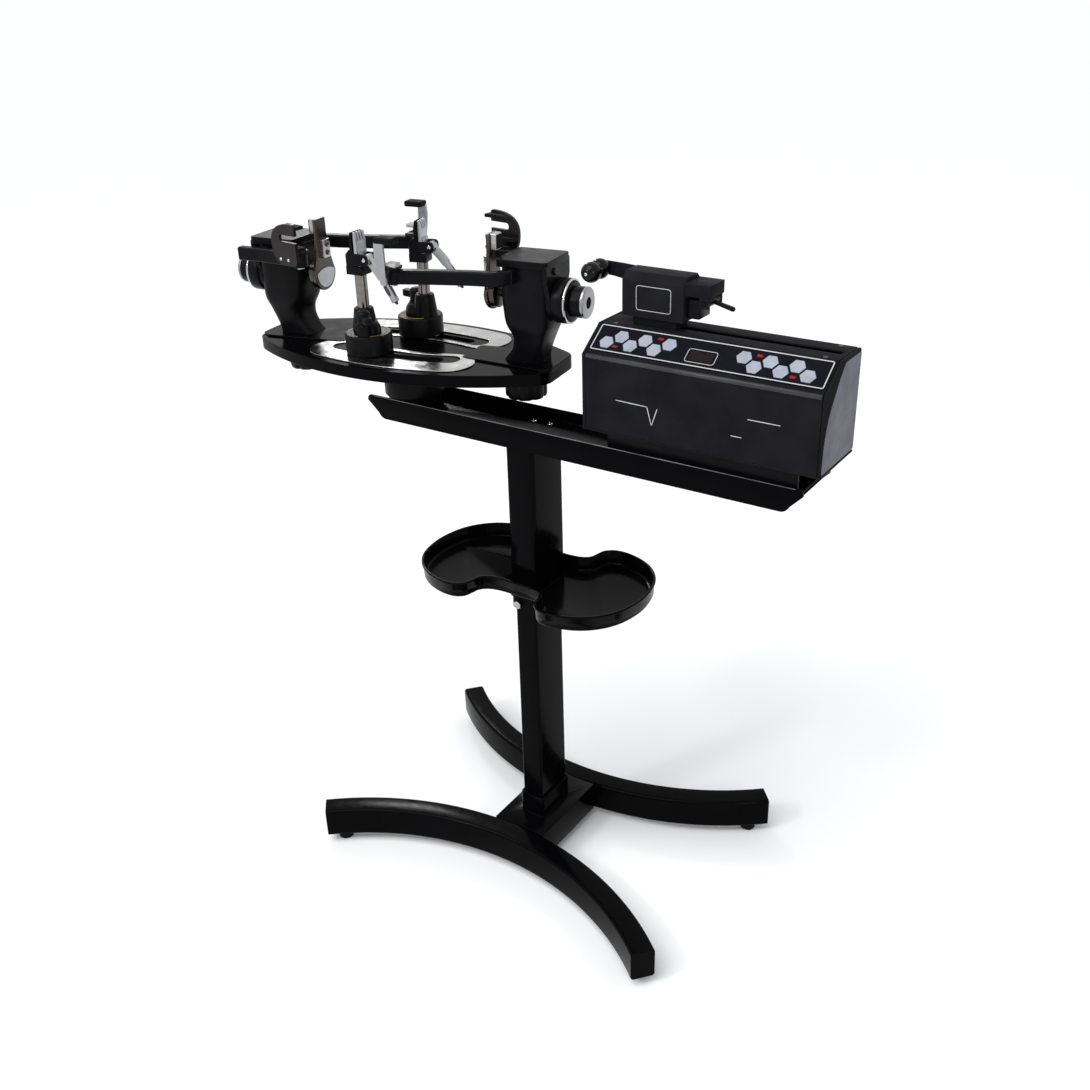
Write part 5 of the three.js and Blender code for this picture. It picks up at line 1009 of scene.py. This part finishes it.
def make_clamp_lever(name, axis):
    node, x, z = name + "_clamp_lever", LEVER["x"], LEVER["z"]
    path = smooth([(x + out * LEVER["reach"], z - down * LEVER["drop"]) for out, down in LEVER_SHARES], 10)
    rings = []
    for i, (own_x, own_z) in enumerate(path):
        before, after = path[max(i - 1, 0)], path[min(i + 1, len(path) - 1)]
        along = Vector((after[0] - before[0], after[1] - before[1])).normalized()
        wide = 6.2 if i <= LEVER["grip_start"] else 4.8
        rings.append([(own_x - along.y * a, b, own_z + along.x * a) for a, b in rounded(wide, 4.6, 2.2)])
    hub = rod(7, (x, -LEVER["hub"], z), (x, LEVER["hub"], z), 48, 0.6)
    pin = rod(3, (x, -LEVER["pin"], z), (x, LEVER["pin"], z), 32, 0.4)
    skin(node, grid(rings), "cast_silver", axis, 0.3, 60)
    add(name + "_lever_hub", hub, "cast_silver", node, axis, 0)
    add(name + "_lever_pin", pin, "chrome", node, axis, 0)
    add(name + "_lever_grip", lever_grip(path), "edge_grey", node, axis, 0, 60)


# Tension unit
BOX = {"left": (low_of("tension_left_cover") - AXIS).x, "right": (high_of("tension_right_cover") - AXIS).x,
       "half": high_of("tension_plinth").y, "bottom": high_of("tension_plinth").z, "front": 901.0,
       "top": high_of("tension_housing").z, "slope": 45.0}
BOX_LENGTH = BOX["right"] - BOX["left"]
SLOPE_RISE = BOX["top"] - BOX["front"]
SLOPE_LENGTH = hypot(BOX["slope"], SLOPE_RISE)
SLOPE = atan2(SLOPE_RISE, BOX["slope"])
SLOPE_PLACE = BASE @ at(BOX["left"], -BOX["half"], BOX["front"]) @ turned(SLOPE, "X")
FRONT_PLACE = BASE @ at(BOX["left"], -BOX["half"], BOX["bottom"]) @ turned(pi / 2, "X")
PANEL = {"start": 8.5, "end": 2.5, "side": 8.0, "corner": 3.0, "low": GAP, "top": 1.5, "border": 1.5}
PANEL_HEIGHT = SLOPE_LENGTH - PANEL["start"] - PANEL["end"]
PANEL_MIDDLE = PANEL["start"] + PANEL_HEIGHT / 2
PRINT = {"low": 1.45, "border": 1.62, "mark": 1.66}
KEY = {"count": 6, "row": 6.0, "down": 1.2}
KEY_SHARES = (0.083, 0.645)
KEY_PITCH_SHARE = 0.0515
GLASS = {"x": 17.0, "y": 7.5, "down": 5.0, "corner": 1.8}
DISPLAY_SHARE = 0.484
MARK_SHARES = ((0.125, -11.5), (0.295, 12), (0.7, 11.5), (0.85, -11.5))  # with their heights from the middle
FRONT_LINES = (((54, 48), (101, 47), (108, 22), (116, 46)), ((245, 57), (288, 57)), ((223, 31), (237, 31)))
TOP_SCREWS = ((144, -4), (440, -4), (144, 46), (440, 46))
COVER_CURVE = ((1, 929), (-12, 915), (-27, 895), (-42, 872), (-50, 845), (-52, 820), (-52, 800))
COVER_CORNERS = ((-50, 799), (51, 799), (52, 801), (52, 927), (50, 929))
COVER_FACE = {"step": 0.6, "depth": 0.8}
RIDGE = {"radius": 3.4, "end": 7.0, "inset": 1.8}


def line(points, width, low, high):
    """A printed line through points, as a thin raised strip."""
    forms = []
    for (x0, y0), (x1, y1) in zip(points, points[1:]):
        along = Vector((x1 - x0, y1 - y0)).normalized() * width / 2
        a, b = Vector((x0, y0)) - along, Vector((x1, y1)) + along
        side = Vector((-along.y, along.x))
        forms.append(slab([tuple(a - side), tuple(b - side), tuple(b + side), tuple(a + side)], low, high))
    return merged(*forms)


def frame_line(half_x, half_y, radius, x, y, width, low, high):
    outer = rounded(half_x, half_y, radius, x, y)
    return tube(outer, rounded(half_x - width, half_y - width, radius - width, x, y), low, high)


def make_panel():
    node, place, centre = "control_panel", SLOPE_PLACE, PANEL_MIDDLE
    half_x, half_y = BOX_LENGTH / 2, PANEL_HEIGHT / 2
    window_x, window_y = DISPLAY_SHARE * BOX_LENGTH, centre - GLASS["down"]
    film = rounded(half_x - PANEL["side"], half_y, PANEL["corner"], half_x, centre)
    film = slab(film, PANEL["low"], PANEL["top"])
    window = slab(rounded(GLASS["x"] + GAP, GLASS["y"] + GAP, 2, window_x, window_y), -CUT, CUT)
    add("control_panel_skin", carve(film, window), "panel_film", node, place, 0.3, stands=True)
    border = frame_line(half_x - PANEL["side"] - 1, half_y - 1, PANEL["corner"], half_x, centre,
                        PANEL["border"], PRINT["low"], PRINT["border"])
    add("panel_border", border, "print_white", node, place, 0)
    pad = lathe([(10.7, 1.4), (10.7, 2.2), (10.2, 2.6)], 6)
    for group, (share, sign) in enumerate(zip(KEY_SHARES, (-1, 1))):
        for i in range(KEY["count"]):
            x = (share + i * KEY_PITCH_SHARE) * BOX_LENGTH
            y = centre + (sign if i % 2 == 0 else -sign) * KEY["row"] - KEY["down"]
            add("key_%d" % (group * KEY["count"] + i), shifted(pad, x, y), "pale_key", node, place, 0.4)
    glass = slab(rounded(GLASS["x"], GLASS["y"], GLASS["corner"], window_x, window_y), PANEL["low"], 1.7)
    add("display_skin", glass, "display_glass", "tension_display", place, 0.3, stands=True)
    bezel_x, bezel_y = GLASS["x"] + 4, GLASS["y"] + 3
    bezel = frame_line(bezel_x, bezel_y, 4, window_x, window_y, 0.8, PRINT["low"], PRINT["mark"])
    add("display_bezel", bezel, "print_white", node, place, 0)
    for i, (share, up) in enumerate(MARK_SHARES):
        mark = slab(rounded(4.2, 2.1, 1.8, share * BOX_LENGTH, centre + up), PRINT["low"], PRINT["mark"])
        add("panel_mark_%d" % i, mark, "print_red", node, place, 0)


def make_right_cover():
    """The cover's black edge, with a grey face that a curve bounds towards the front."""
    piece = dressed("tension_right_cover", 1.2, "matt_black")
    outer = max(v.co.x for v in piece.data.vertices) - COVER_FACE["step"] * MM
    for v in piece.data.vertices:
        v.co.x = min(v.co.x, outer)
    outline = smooth(COVER_CURVE, 6) + list(COVER_CORNERS)
    face = along_x(slab(outline, BOX["right"] - COVER_FACE["depth"], BOX["right"]))
    add("cover_face", face, "side_grey", "tension_right_cover", BASE, 0.3)


def make_box():
    node = "tension_housing"
    dressed("tension_plinth", 1.2, "satin_black")
    dressed(node, 1.2)
    dressed("tension_left_cover", 1.2)
    make_right_cover()
    make_panel()
    # A real bead along the housing's front top edge, whose grey, lighter than the housing, is a painted
    # highlight on that edge
    y, z = RIDGE["inset"] - BOX["half"], BOX["front"] - RIDGE["inset"]
    start, end = BOX["left"] + RIDGE["end"], BOX["right"] - RIDGE["end"]
    ridge = rod(RIDGE["radius"], (start, y, z), (end, y, z), 32, 0.6)
    add("housing_ridge_highlight", ridge, "edge_grey", node, BASE, 0)
    for i, points in enumerate(FRONT_LINES):
        add("front_line_%d" % i, line(points, 1.1, 0.0, 0.25), "print_white", node, FRONT_PLACE, 0)
    head = shifted(screw_head("housing"), z=BOX["top"])
    for i, (x, y) in enumerate(TOP_SCREWS):
        add("top_screw_%d" % i, head, "edge_grey", node, BASE @ at(x, y), 0)
    for own in ("drive_motor", "drive_screw", "power_inlet", "power_switch"):
        dressed(own, 0.5)


EMBLEM = (26.0, 16.5, 4.0, 198.0, 971.0, 0.8, 0.0, 0.3)  # in the order of frame_line
ROLLER = {"ball": 14.0, "offset": 11.0, "face": 20.2, "shaft": 4.0, "end": 26.5, "steps": 24, "pole": 0.4}


def roller_profile():
    """Two balls side by side, with a waist for the string between them, as (radius, height)."""
    ball, offset, steps = ROLLER["ball"], ROLLER["offset"], ROLLER["steps"]
    waist, cut = acos(offset / ball), acos((ROLLER["face"] - offset) / ball)
    profile = []
    for i in range(steps + 1):
        angle = pi - (pi - waist) * max(i, ROLLER["pole"]) / steps
        profile.append((ball * sin(angle), ball * cos(angle) - offset))
    for i in range(1, steps + 1):
        angle = pi - waist - (pi - waist - cut) * i / steps
        profile.append((ball * sin(angle), ball * cos(angle) + offset))
    return profile + [(ROLLER["shaft"], ROLLER["face"]), (ROLLER["shaft"], ROLLER["end"])]


def make_carriage():
    dressed("tension_carriage", 1.4, "cast_black")
    place = BASE @ turned(pi / 2, "X")
    add("carriage_outline", frame_line(*EMBLEM), "print_white", "tension_carriage", place, 0)
    node = "string_roller"
    centre = middle(node)
    place = BASE @ at(centre.x - column.x, low_of(node).y + ROLLER["ball"] + ROLLER["offset"], centre.z)
    ball = along_y(lathe(roller_profile()))
    add("string_roller_skin", ball, "gloss_plastic", node, place, 0, 60, stands=True)
    tip = along_y(lathe([(1.2, -26.2), (2.4, -25.6), (2.4, -24)], 32))
    add("roller_screw", tip, "chrome", node, place, 0)
    dressed("gripper_jaw", 0.8)
    dressed("gripper_lever", 0.5)


make_stand()
make_upper_frame()
make_turntable()
for tower_name, tower_place in TOWERS.items():
    make_tower(tower_name, tower_place)
make_clamp("near")
make_clamp("far")
make_box()
make_carriage()

# Stage
FLOOR_REACH = 90.0
FLOOR_LOOK = {"Base Color": (0.97, 0.97, 0.97, 1), "Roughness": 1.0, "Specular IOR Level": 0.0}
SEEN = {"Color": (1, 1, 1, 1), "Strength": 1.0}
LIT = {"Color": (0.95, 0.97, 1.0, 1), "Strength": 0.53}


def make_floor():
    mesh = bpy.data.meshes.new("floor")
    reach = FLOOR_REACH
    mesh.from_pydata([(-reach, -reach, 0), (reach, -reach, 0), (reach, reach, 0), (-reach, reach, 0)], [],
                     [(0, 1, 2, 3)])
    floor = new_object("floor", mesh)
    pale = bpy.data.materials.new("floor")
    pale.use_nodes = True
    set_inputs(pale.node_tree.nodes["Principled BSDF"], FLOOR_LOOK)
    mesh.materials.append(pale)


def make_world():
    """A white room for the camera, mirrors and glass, which lights the part more weakly."""
    world = bpy.data.worlds.new("studio")
    bpy.context.scene.world = world
    world.use_nodes = True
    tree = world.node_tree
    tree.nodes.clear()

    def background(values):
        node = tree.nodes.new("ShaderNodeBackground")
        set_inputs(node, values)
        return node.outputs[0]

    def larger(a, b):
        node = tree.nodes.new("ShaderNodeMath")
        node.operation = "MAXIMUM"
        tree.links.new(a, node.inputs[0])
        tree.links.new(b, node.inputs[1])
        return node.outputs[0]

    rays = tree.nodes.new("ShaderNodeLightPath").outputs
    direct = larger(larger(rays["Is Camera Ray"], rays["Is Glossy Ray"]), rays["Is Transmission Ray"])
    both = tree.nodes.new("ShaderNodeMixShader")
    for i, source in enumerate((direct, background(LIT), background(SEEN))):
        tree.links.new(source, both.inputs[i])
    out = tree.nodes.new("ShaderNodeOutputWorld")
    tree.links.new(both.outputs[0], out.inputs["Surface"])


# Each light: its kind, place, aim, energy, and its width in metres or, for the sun, in degrees
LIGHTS = {"sun": ("SUN", (-0.3, -0.9, 1.6), (0, 0, 0), 1.9, 50),
          "key": ("AREA", (-0.9, -2.3, 2.3), (-0.1, 0, 0.8), 14, 0.3),
          "side": ("AREA", (2.2, -1.5, 1.7), (0, 0, 0.7), 8, 0.25),
          "back": ("AREA", (-1.8, 1.6, 2.0), (0, 0, 0.8), 10, 0.3)}


def make_lights():
    for name, (kind, place, aim, energy, width) in LIGHTS.items():
        data = bpy.data.lights.new(name, kind)
        data.energy = energy
        if kind == "SUN":
            data.angle = radians(width)
        else:
            data.shape = "SQUARE"
            data.size = width
        light = new_object(name, data)
        light.location = place
        light.rotation_mode = "QUATERNION"
        light.rotation_quaternion = (Vector(aim) - Vector(place)).to_track_quat("-Z", "Y")


make_floor()
make_world()
make_lights()

bpy.context.scene.view_settings.view_transform = "Standard"
